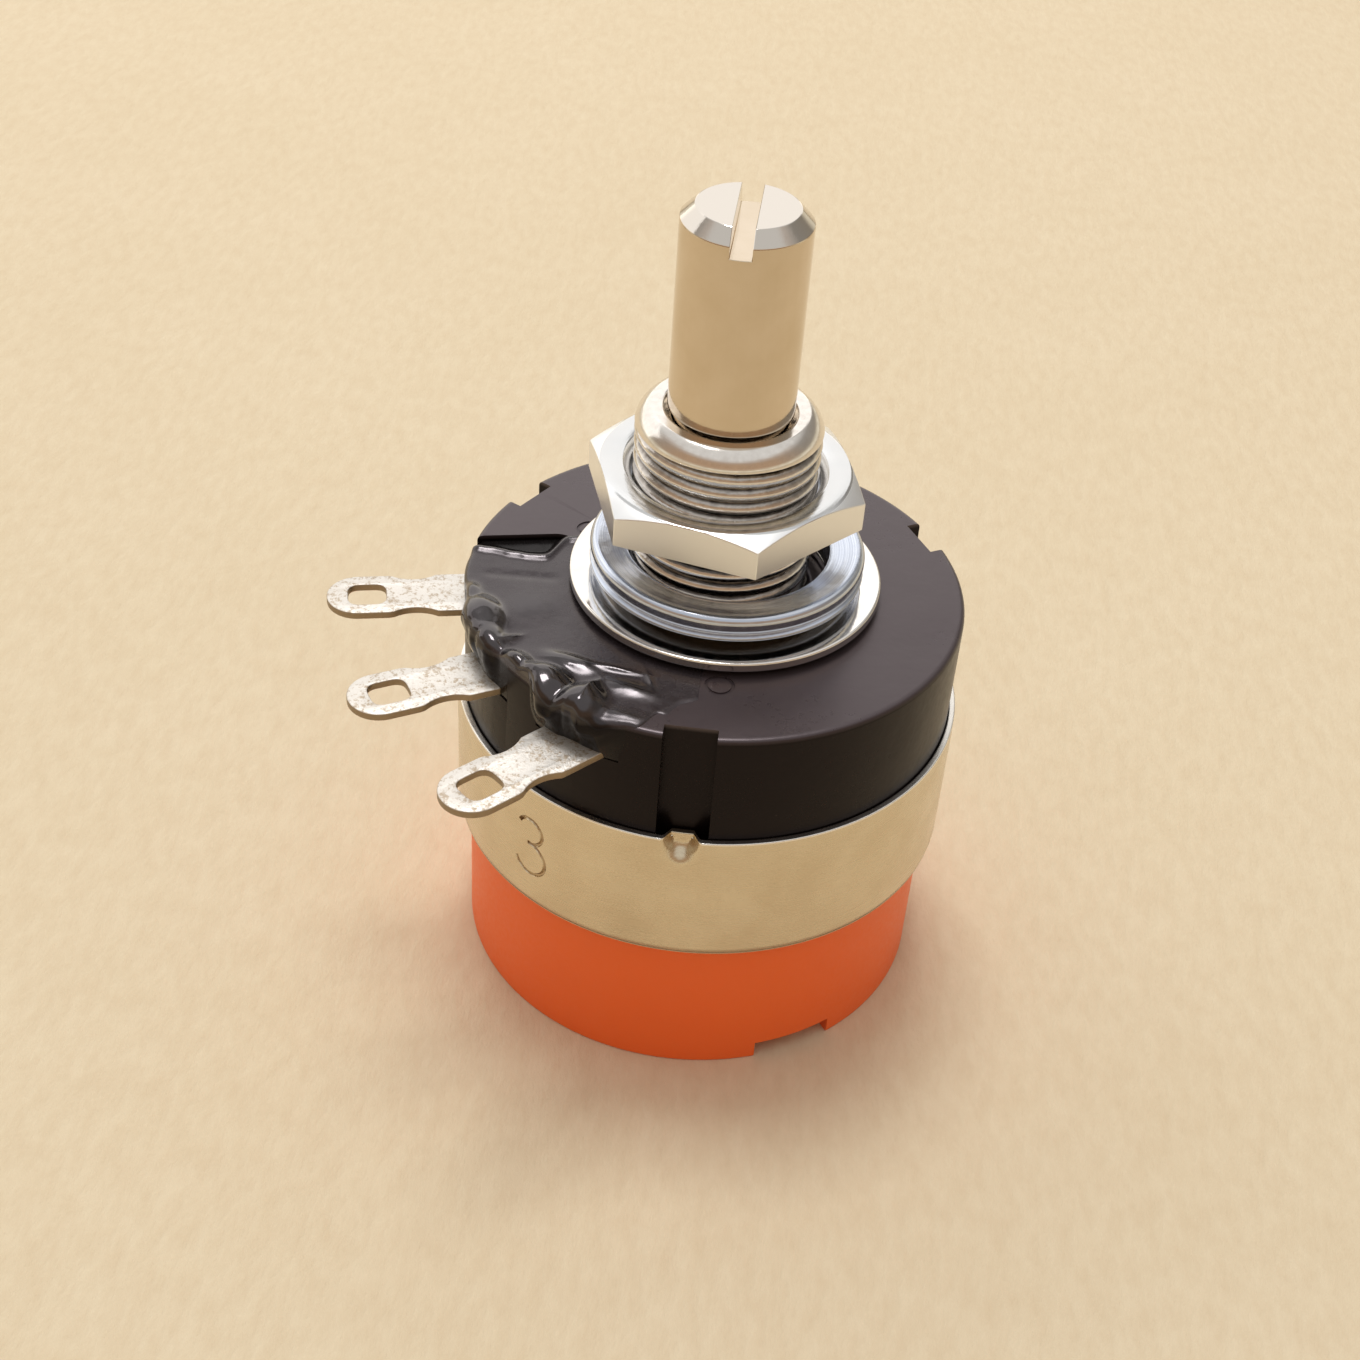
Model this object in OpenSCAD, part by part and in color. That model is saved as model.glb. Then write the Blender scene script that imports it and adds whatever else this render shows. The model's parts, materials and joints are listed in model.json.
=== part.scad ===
// Panel potentiometer with a rear switch: slotted shaft in a threaded bush, black front moulding
// with potted solder terminals, metal case band, orange switch housing.
// Origin: shaft axis at the front face of the moulding. +Z points to the shaft tip.

/* [Shaft] */
// Shaft diameter
shaft_d = 6; // [5.8:0.1:6.3]
// Journal diameter inside the bush
journal_d = 5.5; // [5.3:0.1:5.6]
// Shaft tip above the front face
shaft_tip = 20.1; // [15:0.1:30]
// Tip chamfer
shaft_chamfer = 0.65; // [0.3:0.05:0.9]
// Screwdriver slot width
slot_w = 1; // [0.8:0.1:1.6]
// Screwdriver slot depth
slot_depth = 1.2; // [0.8:0.1:2]
// Heading of the slot, degrees from +X
slot_az = 87; // [0:1:180]

/* [Bush] */
// Thread outside diameter of the bush
bush_d = 9; // [8.7:0.1:9.3]
// Bush height above the front face
bush_h = 10; // [9:0.1:12]
// Lead-in chamfer of the thread
bush_chamfer = 0.8; // [0.4:0.1:0.9]
// Flared mouth around the shaft
bush_mouth = 0.35; // [0.2:0.05:0.5]

/* [Nut and washers] */
// Nut width across flats
nut_af = 12; // [11.5:0.1:13]
// Nut thickness
nut_t = 1.95; // [1.6:0.05:2.2]
// Nut underside above the front face
nut_z = 4.95; // [4.8:0.05:6]
// Heading of one nut corner
nut_az = -15; // [-30:1:30]
// Corner drop of the nut chamfer
nut_corner = 0.5; // [0.3:0.05:0.6]
// Flat washer outside diameter
flat_d = 15.4; // [14:0.1:15.6]
// Flat washer thickness
flat_t = 0.5; // [0.4:0.05:0.6]
// Dished washer outside diameter
dish_d = 13.46; // [12.9:0.02:13.9]
// Dished washer overall height
dish_h = 1.8; // [1.5:0.05:2]
// Sideways slack that the loose washers have taken up
washer_shift = 0.42; // [0:0.02:0.46]

/* [Front moulding] */
// Moulding outside diameter
mould_d = 24.8; // [24:0.1:26]
// Moulding depth
mould_len = 7.95; // [7.7:0.05:8.3]
// Front wall thickness
wall_t = 3.2; // [3.1:0.05:3.4]
// Side wall thickness
side_t = 1.4; // [1.3:0.05:1.5]
// Bevel of the front edge
rim_bevel = 0.3; // [0.1:0.05:0.4]
// Raised seat under the washer, diameter
boss_d = 12; // [11:0.1:12.6]
// Raised seat under the washer, height
boss_h = 0.3; // [0.2:0.05:0.4]
// Crimp groove width
groove_w = 2.5; // [2.4:0.05:2.8]
// Crimp groove depth
groove_depth = 0.85; // [0.75:0.05:0.95]
// Heading of the first crimp groove
groove_az = -92.5; // [-98:0.5:-90]

/* [Terminals] */
// Heading of the middle terminal
term_az = 208; // [204:0.5:212]
// Angle between neighbouring terminals
term_fan_az = 16.6; // [15:0.1:18]
// Sideways offset of the middle terminal from the axis
term_offset = 0.65; // [0.4:0.05:0.8]
// Extra sideways offset of each outer terminal
term_pitch = 2.95; // [2.9:0.05:3.05]
// Terminal sheet thickness
term_t = 0.4; // [0.35:0.05:0.6]
// Terminal width
term_w = 3.1; // [2.8:0.05:3.3]
// Reach of the terminal tips beyond the moulding radius
term_reach = 6.75; // [6:0.05:8]
// Width at the waist
waist_w = 2.4; // [2:0.05:2.6]
// Wire hole length
eye_len = 1.9; // [1.7:0.05:2.2]
// Wire hole width
eye_w = 1.65; // [1.4:0.05:1.7]
// Terminal channel width
channel_w = 4.4; // [4.2:0.05:4.5]
// Terminal channel depth
channel_depth = 2.25; // [2.1:0.05:2.35]

/* [Resistance element] */
// Element disc thickness
element_t = 0.7; // [0.6:0.05:0.8]
// Film thickness of track and collector
film_t = 0.08; // [0.06:0.01:0.1]

/* [Rotor] */
// Shaft turn between its stops, degrees
turn_range_az = 300; // [290:1:300]
// Half angle of the rotor stop tab
tab_half_az = 10; // [8:0.5:10]
// Rotor disc thickness
rotor_t = 1.5; // [1.3:0.05:1.6]

/* [Case band] */
// Band sheet thickness
band_t = 0.35; // [0.3:0.01:0.4]
// Band top edge below the front face
band_drop = 5.95; // [5.5:0.05:6.4]
// Band height
band_h = 7.28; // [7:0.02:7.6]
// Crimp pocket width
crimp_w = 1.55; // [1.4:0.05:1.6]

/* [Switch housing] */
// Divider plate thickness
divider_t = 0.8; // [0.7:0.05:0.9]
// Housing outside diameter below the band
housing_d = 24.22; // [23.6:0.02:24.26]
// Radial width of the flange that the band holds
flange_w = 0.26; // [0.22:0.01:0.27]
// Housing wall thickness
housing_t = 1.41; // [1.3:0.01:1.5]
// Rear edge of the housing below the front face
rear_drop = 21.75; // [21:0.05:23]
// Depth of the recess inside the rear rim
rim_depth = 1; // [0.95:0.05:1.1]
// Rear rim wall thickness
rim_t = 1.2; // [1:0.05:1.3]
// Rear wall thickness
rear_t = 2.15; // [2:0.05:2.3]
// Width of each notch in the rear rim
notch_w = 4.3; // [4.1:0.1:4.6]
// Heading of the spare notch
notch_az = -60; // [-64:1:-56]

/* [Switch contacts] */
// Cam hub radius
hub_r = 3.5; // [3.4:0.05:3.6]
// Lift of the cam lobe
lift = 0.5; // [0.4:0.05:0.55]
// Distance of the contact posts from the axis
post_at = 6; // [5.9:0.05:6.4]
// Half angle between the contact posts
post_half_az = 30; // [29:0.5:31]
// Contact post diameter
post_d = 1.8; // [1.6:0.05:1.9]
// Contact lever thickness
lever_t = 1; // [0.8:0.05:1.1]
// Contact lever height
lever_h = 2.6; // [2.2:0.1:2.8]
// Reach of the switch lug tips beyond the housing radius
swlug_reach = 6.3; // [5:0.1:7]
// Switch lug width
swlug_w = 3.2; // [2.8:0.1:3.4]
// Spring wire diameter
wire_d = 0.3; // [0.24:0.02:0.36]
// Mean diameter of the spring coil
coil_d = 1.9; // [1.7:0.1:2]
// Number of spring turns
coil_count = 4; // [3:0.5:5]

/* [Hidden] */
$fn = 96;

// Fits and clearances
seat_gap = 0.02;
journal_gap = 0.03;
shoulder_gap = 0.1;
nut_gap = 0.08;
washer_gap = 0.5;
brush_gap = 0.04;
cam_gap = 0.08;
contact_gap = 0.04;
pivot_gap = 0.05;
flange_gap = 0.05;
disc_gap = 0.1;
swing_gap = 0.3;
cut = 1;

// Bush and shaft
shaft_r = shaft_d / 2;
journal_r = journal_d / 2;
journal_top = bush_h + shoulder_gap;
bush_r = bush_d / 2;
bore_r = journal_r + journal_gap;
mouth_r = shaft_r + bush_mouth;
bush_flange_w = 0.7;
bush_flange_r = bush_r + bush_flange_w;
bush_flange_t = 0.9;
bush_rear = -wall_t - bush_flange_t;
clip_t = 0.5;
clip_play = 0.05;
clip_top = bush_rear - 2 * clip_play;
clip_groove_top = clip_top + clip_play;
clip_groove_bottom = clip_top - clip_t - clip_play;
clip_groove_depth = 0.5;
clip_groove_r = journal_r - clip_groove_depth;
clip_ring_r = journal_r + swing_gap;
clip_w = 1.2;
clip_r = clip_ring_r + clip_w;
clip_tab_w = 1.6;
clip_mouth_w = 3.4;
neck_step = 0.35;
neck_r = journal_r - neck_step;
neck_flat_cut = 0.5;
neck_flat = neck_r - neck_flat_cut;
tang_step = 0.4;
tang_r = neck_r - tang_step;
tang_flat_cut = 0.6;
tang_flat = tang_r - tang_flat_cut;

// Front moulding
mould_r = mould_d / 2;
cavity_r = mould_r - side_t;
channel_len = 5.8;
channel_start = mould_r - channel_len;
channel_corner = 1;
groove_floor_r = mould_r - groove_depth;
dead_half_az = (360 - turn_range_az) / 2;
stop_slack_az = 0.5;
rest_az = term_az - dead_half_az;

// Nut and washers
nut_corner_r = nut_af / 2 / cos(30);
nut_face_step = 0.05;
nut_face_r = nut_af / 2 - nut_face_step;
nut_sink = 0.35;
nut_slope = nut_corner / (nut_corner_r - nut_face_r);
washer_in = bush_r + washer_gap;
flat_edge = 0.1;
dish_r = dish_d / 2;
dish_foot = 0.2;
dish_hollow = 0.12;
dish_bead_r = 0.38;
dish_lip_w = 0.5;
dish_lip_z = 0.72;
dish_lip_t = 0.18;

// Terminals, rivets and potting
lug_top = -channel_depth + term_t;
rivet_inset = 1.8;
rivet_x = cavity_r - rivet_inset;
rivet_r = 0.6;
rivet_hole_r = rivet_r + seat_gap;
rivet_head_r = 1.1;
rivet_head_t = 0.35;
rivet_tail_r = 0.95;
rivet_tail_t = 0.32;
term_tip = mould_r + term_reach;
waist_out = 2.4;
waist_x = mould_r + waist_out;
waist_cut_r = 2;
eye_inset = 2;
eye_x = term_tip - eye_inset;
eye_corner = 0.6;
pot_inset = 0.8;
pot_start = channel_start + pot_inset;
pot_trough = 1.3;
pot_layer = 0.3;
pot_layer_w = 4.3;
pot_layer_r = mould_r - pot_layer_w;
pot_lump_r = 3.2;
pot_lump_inset = 2.5;
pot_lump_x = mould_r - pot_lump_inset;
pot_lump_z = -2.2;
pot_tail_az = 4;

// Element, films and wiper
element_top = -wall_t - element_t;
film_bottom = element_top - film_t;
element_gap = 0.2;
element_in = bush_flange_r + element_gap;
// The films share the ring between the bush flange and the rivets
film_zone = norm([rivet_x, term_offset]) - rivet_tail_r - element_gap - element_in;
collector_share = 0.21;
collector_r = element_in + collector_share * film_zone;
collector_w_share = 0.33;
collector_w = collector_w_share * film_zone;
track_share = 0.75;
track_r = element_in + track_share * film_zone;
track_w_share = 0.44;
track_w = track_w_share * film_zone;
brush_share = 0.16;
brush_r = brush_share * film_zone;
finger_w = collector_w;
track_over_az = 6;
pad_r = 1;
pad_w = 1.6;
brush_top = film_bottom - brush_gap;
brush_h = 0.45;
shoulder_h = 0.45;
rotor_top = clip_groove_bottom - shoulder_h;
rotor_bottom = rotor_top - rotor_t;
rotor_rim = 1.2;
rotor_r = track_r + rotor_rim;
stop_gap = 1.15;
stop_r = rotor_r + stop_gap;
stop_top = rotor_top + swing_gap;
retainer_t = 0.4;
retainer_w = 1.2;
retainer_r = neck_r + retainer_w;
wiper_t = 0.2;
wiper_in = journal_r + swing_gap;
wiper_ring_w = 1.8;
wiper_ring_r = wiper_in + wiper_ring_w;
wiper_bar_inset = 0.5;
wiper_bar_y = wiper_in + wiper_bar_inset;
wiper_bar_w = 1.2;
finger_top = brush_top - brush_h;
finger_foot = 0.6;

// Case band: it goes round the moulding and the housing's flange, whichever is wider
housing_r = housing_d / 2;
seat_r = max(mould_r, housing_r + flange_w);
band_in = seat_r + seat_gap;
band_out = band_in + band_t;
band_bottom = -band_drop - band_h;
crimp_gap = 0.08;
crimp_r = groove_floor_r + crimp_gap;
crimp_share = 0.6;
crimp_h = (mould_len - band_drop) * crimp_share;
crimp_dip = 0.15;

// Switch housing
divider_bottom = -mould_len - divider_t;
divider_hole_r = retainer_r + swing_gap;
flange_r = band_in - flange_gap;
lip_in = housing_r + seat_gap;
lip_top = band_bottom + band_t;
rear_outer = -rear_drop + rim_depth;
floor_z = rear_outer + rear_t;
chamber_r = housing_r - housing_t;
rim_in = housing_r - rim_t;

// Switch cam
driver_drop = 0.65;
driver_top = divider_bottom - driver_drop;
driver_h = 3.5;
driver_bottom = driver_top - driver_h;
tang_end = driver_bottom - disc_gap;
lobe_spare = 0.1;
lobe_r = hub_r + lift + lobe_spare;
lobe_half_az = 14;

// Contact posts and lever
post_x = post_at * sin(post_half_az);
post_y = post_at * cos(post_half_az);
post_r = post_d / 2;
post_over = 0.6;
post_shank_r = 0.75;
post_hole_r = post_shank_r + seat_gap;
post_head_r = 1.3;
post_head_t = 0.35;
open_az = asin(lift / post_x);
lever_lift = 1;
lever_low = floor_z + lever_lift;
lever_top = lever_low + lever_h;
lever_ring_t = 0.9;
lever_ring_r = post_r + pivot_gap + lever_ring_t;
button_r = 0.8;
button_t = 0.5;
lever_in = post_r + contact_gap + button_t;
lever_over = 1;
lever_len = 2 * post_x + lever_over;
button_z = (lever_low + lever_top) / 2;
clip_ring_t = 0.4;
clip_ring_w = 0.45;
post_top = lever_top + post_over;

// Cam follower and spring
nose_r = 1.2;
nose_drop = 0.4;
nose_top = driver_top - nose_drop;
nose_y = lobe_r + cam_gap + nose_r;
follower_half = 1.7;
follower_step = 1.2;
follower_back = post_y + lever_in + lever_t + follower_step;
peg_r = 0.3;
peg_depth = 1.2;
spring_over = 0.55;
coil_r = coil_d / 2;
spring_bore_r = coil_r + wire_d / 2 + spring_over / 2;
spring_z = lever_top + spring_bore_r + spring_over;
spring_pocket = 0.9;
spring_from = follower_back - spring_pocket;
seat_depth = 0.6;
spring_seat = chamber_r + seat_depth;
coil_seg = 16;
wire_seg = 8;

// Switch lugs
swlug_t = 0.5;
swlug_tip = housing_r + swlug_reach;
swlug_eye_x = swlug_tip - eye_inset;

module sector(r_in, r_out, h, a0, a1) {
    rotate([0, 0, a0])
        rotate_extrude(angle = a1 - a0)
            translate([r_in, 0])
                square([r_out - r_in, h]);
}

module tube(r_in, r_out, z0, z1) {
    translate([0, 0, z0])
        difference() {
            cylinder(r = r_out, h = z1 - z0);
            translate([0, 0, -cut])
                cylinder(r = r_in, h = z1 - z0 + 2 * cut);
        }
}

module double_d(r, flat) {
    intersection() {
        circle(r = r);
        square([2 * r + cut, 2 * flat], center = true);
    }
}

module rounded_rect(l, w, r) {
    square([l - 2 * r, w], center = true);
    square([l, w - 2 * r], center = true);
    for (sx = [-1, 1])
        for (sy = [-1, 1])
            translate([sx * (l / 2 - r), sy * (w / 2 - r)])
                circle(r = r);
}

// Frame of terminal i (-1, 0, 1): x runs outward along the terminal
module at_terminal(i) {
    rotate([0, 0, term_az + i * term_fan_az])
        translate([0, term_offset + i * term_pitch, 0])
            children();
}

module at_grooves() {
    for (k = [0, 1, 2])
        rotate([0, 0, groove_az + 120 * k])
            children();
}

module groove_cuts() {
    at_grooves()
        translate([groove_floor_r, -groove_w / 2, -mould_len - cut])
            cube([seat_r + cut - groove_floor_r, groove_w, mould_len + 2 * cut]);
}

// Frame of contact post s (-1, 1): x runs outward through the post
module at_post(s) {
    rotate([0, 0, 90 + s * post_half_az])
        children();
}

module channel(i) {
    at_terminal(i)
        translate([0, 0, -channel_depth])
            linear_extrude(channel_depth + cut) {
                translate([channel_start + channel_corner, -channel_w / 2])
                    square([mould_r, channel_w]);
                translate([channel_start, -channel_w / 2 + channel_corner])
                    square([mould_r, channel_w - 2 * channel_corner]);
                for (s = [-1, 1])
                    translate([channel_start + channel_corner, s * (channel_w / 2 - channel_corner)])
                        circle(r = channel_corner);
            }
}

module front_moulding() {
    collar = seat_r > mould_r ? [[mould_r, -band_drop], [seat_r, -band_drop]] : [];
    color([0.07, 0.06, 0.06])
        difference() {
            union() {
                rotate_extrude()
                    polygon(concat([[bush_r + seat_gap, boss_h], [boss_d / 2, boss_h], [boss_d / 2, 0],
                        [mould_r - rim_bevel, 0], [mould_r, -rim_bevel]], collar, [[seat_r, -mould_len],
                        [cavity_r, -mould_len], [cavity_r, -wall_t], [bush_r + seat_gap, -wall_t]]));
                translate([0, 0, -mould_len])
                    sector(stop_r, cavity_r + side_t / 2, mould_len + stop_top,
                        term_az - dead_half_az + tab_half_az + stop_slack_az,
                        term_az + dead_half_az - tab_half_az - stop_slack_az);
            }
            groove_cuts();
            for (i = [-1, 0, 1]) {
                channel(i);
                at_terminal(i)
                    translate([rivet_x, 0, -wall_t - cut])
                        cylinder(r = rivet_hole_r, h = wall_t);
            }
        }
}

module threaded_bush() {
    color([0.78, 0.76, 0.72])
        rotate_extrude()
            polygon([[bore_r, bush_h - (mouth_r - bore_r)], [mouth_r, bush_h],
                [bush_r - bush_chamfer, bush_h], [bush_r, bush_h - bush_chamfer], [bush_r, -wall_t],
                [bush_flange_r, -wall_t], [bush_flange_r, bush_rear], [bore_r, bush_rear]]);
}

module shaft() {
    color([0.8, 0.77, 0.7])
        difference() {
            union() {
                rotate_extrude()
                    polygon([[0, shaft_tip], [shaft_r - shaft_chamfer, shaft_tip],
                        [shaft_r, shaft_tip - shaft_chamfer], [shaft_r, journal_top],
                        [journal_r, journal_top], [journal_r, clip_groove_top],
                        [clip_groove_r, clip_groove_top], [clip_groove_r, clip_groove_bottom],
                        [journal_r, clip_groove_bottom], [journal_r, rotor_top], [0, rotor_top]]);
                translate([0, 0, rotor_bottom])
                    linear_extrude(rotor_top - rotor_bottom)
                        double_d(neck_r, neck_flat);
                translate([0, 0, tang_end])
                    linear_extrude(rotor_bottom - tang_end)
                        double_d(tang_r, tang_flat);
            }
            rotate([0, 0, slot_az])
                translate([-shaft_d, -slot_w / 2, shaft_tip - slot_depth])
                    cube([2 * shaft_d, slot_w, slot_depth + cut]);
        }
}

// Snap-on clip with three gripping tabs and an open mouth towards +X
module retaining_clip() {
    color([0.35, 0.35, 0.36])
        translate([0, 0, clip_top - clip_t])
            linear_extrude(clip_t)
                difference() {
                    union() {
                        difference() {
                            circle(r = clip_r);
                            circle(r = clip_ring_r);
                        }
                        intersection() {
                            circle(r = (clip_r + clip_ring_r) / 2);
                            union() {
                                square([clip_tab_w, 2 * clip_r], center = true);
                                translate([-clip_r, -clip_tab_w / 2])
                                    square([clip_r, clip_tab_w]);
                            }
                        }
                    }
                    circle(r = clip_groove_r + seat_gap);
                    translate([0, -clip_mouth_w / 2])
                        square([clip_r + cut, clip_mouth_w]);
                }
}

module flat_washer() {
    color([0.74, 0.73, 0.72])
        translate([washer_shift, 0, boss_h])
            rotate_extrude()
                polygon([[washer_in, 0], [flat_d / 2 - flat_edge, 0], [flat_d / 2, flat_edge],
                    [flat_d / 2, flat_t - flat_edge], [flat_d / 2 - flat_edge, flat_t], [washer_in, flat_t]]);
}

// Cone that opens upward, with a rolled rim above a thin lip
module dished_washer() {
    color([0.72, 0.75, 0.8])
        translate([washer_shift, 0, boss_h + flat_t])
            rotate_extrude() {
                polygon([[washer_in, 0], [washer_in + dish_foot, 0], [dish_r - dish_lip_w, dish_lip_z],
                    [dish_r, dish_lip_z], [dish_r, dish_lip_z + dish_lip_t],
                    [dish_r - dish_bead_r, dish_h - 2 * dish_bead_r], [dish_r - dish_bead_r, dish_h],
                    [washer_in, dish_h - dish_hollow]]);
                translate([dish_r - dish_bead_r, dish_h - dish_bead_r])
                    circle(r = dish_bead_r);
            }
}

module hex_nut() {
    color([0.82, 0.83, 0.85])
        translate([0, 0, nut_z])
            difference() {
                intersection() {
                    rotate([0, 0, nut_az])
                        cylinder(r = nut_corner_r, h = nut_t, $fn = 6);
                    rotate_extrude()
                        polygon([[0, 0], [nut_corner_r + cut, 0],
                            [nut_corner_r + cut, nut_t - nut_corner - nut_slope * cut],
                            [nut_face_r, nut_t], [0, nut_t]]);
                }
                translate([0, 0, -cut])
                    cylinder(r = bush_r + nut_gap, h = nut_t + 2 * cut);
                translate([0, 0, nut_t - nut_sink])
                    cylinder(r1 = bush_r + nut_gap, r2 = bush_r + nut_gap + 2 * nut_sink, h = 2 * nut_sink);
            }
}

module element_disc() {
    color([0.45, 0.28, 0.14])
        difference() {
            tube(element_in, cavity_r - disc_gap, element_top, -wall_t);
            for (i = [-1, 0, 1])
                at_terminal(i)
                    translate([rivet_x, 0, element_top - cut])
                        cylinder(r = rivet_hole_r, h = element_t + 2 * cut);
        }
}

// Film pad from ring radius r out to the rivet of terminal i
module film_pad(i, r) {
    side = term_offset + i * term_pitch;
    pad_at = norm([rivet_x, side]);
    rotate([0, 0, term_az + i * term_fan_az + atan2(side, rivet_x)]) {
        translate([r, -pad_w / 2])
            square([pad_at - r, pad_w]);
        translate([pad_at, 0])
            circle(r = pad_r);
    }
}

module rivet_holes() {
    for (i = [-1, 0, 1])
        rotate([0, 0, term_az + i * term_fan_az])
            translate([rivet_x, term_offset + i * term_pitch])
                circle(r = rivet_hole_r);
}

module carbon_track() {
    color([0.1, 0.1, 0.1])
        difference() {
            union() {
                translate([0, 0, film_bottom])
                    sector(track_r - track_w / 2, track_r + track_w / 2, film_t,
                        rest_az - turn_range_az - track_over_az, rest_az + track_over_az);
                translate([0, 0, film_bottom])
                    linear_extrude(film_t)
                        for (i = [-1, 1])
                            film_pad(i, track_r);
            }
            translate([0, 0, film_bottom - cut])
                linear_extrude(film_t + 2 * cut)
                    rivet_holes();
        }
}

module collector_ring() {
    color([0.8, 0.8, 0.8])
        translate([0, 0, film_bottom])
            linear_extrude(film_t)
                difference() {
                    union() {
                        circle(r = collector_r + collector_w / 2);
                        film_pad(0, collector_r);
                    }
                    circle(r = collector_r - collector_w / 2);
                    rivet_holes();
                }
}

// Solder terminal: round inner end under its rivet, waist outside the moulding, wire eye at the tip
module terminal(i) {
    color([0.78, 0.77, 0.74])
        at_terminal(i)
            translate([0, 0, -channel_depth])
                linear_extrude(term_t)
                    difference() {
                        union() {
                            translate([rivet_x, -term_w / 2])
                                square([term_tip - term_w / 2 - rivet_x, term_w]);
                            translate([term_tip - term_w / 2, 0])
                                circle(d = term_w);
                            translate([rivet_x, 0])
                                circle(d = term_w);
                        }
                        for (s = [-1, 1])
                            translate([waist_x, s * (waist_w / 2 + waist_cut_r)])
                                circle(r = waist_cut_r);
                        translate([eye_x, 0])
                            rounded_rect(eye_len, eye_w, eye_corner);
                        translate([rivet_x, 0])
                            circle(r = rivet_hole_r);
                    }
}

module terminal_1() {
    terminal(-1);
}

module terminal_2() {
    terminal(0);
}

module terminal_3() {
    terminal(1);
}

module terminal_rivet(i) {
    color([0.72, 0.66, 0.5])
        at_terminal(i)
            translate([rivet_x, 0, 0])
                rotate_extrude()
                    polygon([[0, lug_top + rivet_head_t], [rivet_head_r, lug_top + rivet_head_t],
                        [rivet_head_r, lug_top], [rivet_r, lug_top], [rivet_r, film_bottom],
                        [rivet_tail_r, film_bottom], [rivet_tail_r, film_bottom - rivet_tail_t],
                        [0, film_bottom - rivet_tail_t]]);
}

module terminal_rivet_1() {
    terminal_rivet(-1);
}

module terminal_rivet_2() {
    terminal_rivet(0);
}

module terminal_rivet_3() {
    terminal_rivet(1);
}

// Filling of one channel above its terminal; the first channel keeps an open trough at one side
module potting_fill(i) {
    trough = i < 0 ? pot_trough : 0;
    at_terminal(i)
        translate([pot_start, -channel_w / 2 + seat_gap + trough, lug_top])
            cube([mould_r - pot_start, channel_w - 2 * seat_gap - trough, -lug_top + pot_layer / 2]);
}

module potting_compound() {
    lay_from = term_az - term_fan_az - atan2(term_pitch - term_offset, pot_lump_x);
    lay_to = term_az + term_fan_az + atan2(term_pitch + term_offset, pot_lump_x) + pot_tail_az;
    color([0.03, 0.03, 0.03])
        difference() {
            union() {
                intersection() {
                    union()
                        for (i = [-1, 0, 1])
                            potting_fill(i);
                    translate([0, 0, -wall_t])
                        cylinder(r = mould_r, h = wall_t + pot_layer);
                }
                sector(pot_layer_r, mould_r - rim_bevel, pot_layer, lay_from, lay_to);
                for (i = [-1, 0, 1])
                    at_terminal(i)
                        intersection() {
                            translate([pot_lump_x, 0, pot_lump_z])
                                sphere(r = pot_lump_r);
                            translate([0, -channel_w, lug_top])
                                cube([mould_d, 2 * channel_w, pot_lump_r]);
                        }
            }
            front_moulding();
            groove_cuts();
            for (i = [-1, 0, 1])
                at_terminal(i)
                    translate([rivet_x, 0, lug_top - cut])
                        cylinder(r = rivet_head_r + seat_gap, h = cut + rivet_head_t);
        }
}

module rotor_disc() {
    color([0.3, 0.2, 0.12])
        translate([0, 0, rotor_bottom])
            difference() {
                union() {
                    cylinder(r = rotor_r, h = rotor_t);
                    sector(rotor_r - cut, cavity_r - swing_gap, rotor_t,
                        rest_az - tab_half_az, rest_az + tab_half_az);
                }
                translate([0, 0, -cut])
                    linear_extrude(rotor_t + 2 * cut)
                        double_d(neck_r + seat_gap, neck_flat + seat_gap);
            }
}

module rotor_retainer() {
    color([0.6, 0.6, 0.6])
        translate([0, 0, rotor_bottom - retainer_t])
            linear_extrude(retainer_t)
                difference() {
                    circle(r = retainer_r);
                    double_d(tang_r + seat_gap, tang_flat + seat_gap);
                }
}

// One springy finger: runs along y, lifted from the rotor to the brush
module finger(r) {
    foot_y = -wiper_bar_y + wiper_bar_w;
    translate([r + finger_w / 2, 0, 0])
        rotate([0, -90, 0])
            linear_extrude(finger_w)
                polygon([[rotor_top, foot_y - finger_foot], [rotor_top + wiper_t, foot_y - finger_foot],
                    [rotor_top + wiper_t, foot_y], [finger_top, -brush_r], [finger_top, brush_r],
                    [finger_top - wiper_t, brush_r], [finger_top - wiper_t, -brush_r],
                    [rotor_top, foot_y + wiper_t]]);
}

module wiper_spring() {
    color([0.8, 0.68, 0.4])
        rotate([0, 0, rest_az])
            union() {
                translate([0, 0, rotor_top])
                    linear_extrude(wiper_t)
                        difference() {
                            union() {
                                circle(r = wiper_ring_r);
                                translate([0, -wiper_bar_y])
                                    square([track_r + finger_w / 2, wiper_bar_w]);
                            }
                            circle(r = wiper_in);
                        }
                finger(track_r);
                finger(collector_r);
            }
}

module brush(r) {
    color([0.2, 0.2, 0.2])
        rotate([0, 0, rest_az])
            translate([r, 0, finger_top])
                cylinder(r = brush_r, h = brush_h);
}

module track_brush() {
    brush(track_r);
}

module collector_brush() {
    brush(collector_r);
}

// Rolled band: lower lip turned in under the housing flange, top edge pressed into the moulding's grooves
module case_band() {
    color([0.72, 0.7, 0.64])
        difference() {
            union() {
                rotate_extrude()
                    polygon([[band_in, -band_drop], [band_out, -band_drop], [band_out, band_bottom],
                        [lip_in, band_bottom], [lip_in, lip_top], [band_in, lip_top]]);
                at_grooves()
                    translate([crimp_r, -crimp_w / 2 - band_t, -band_drop - crimp_h - band_t])
                        cube([band_in + band_t / 2 - crimp_r, crimp_w + 2 * band_t,
                            crimp_h + band_t - crimp_dip]);
            }
            at_grooves()
                translate([crimp_r + band_t, -crimp_w / 2, -band_drop - crimp_h])
                    cube([band_out + cut - crimp_r, crimp_w, crimp_h + cut]);
        }
}

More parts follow.
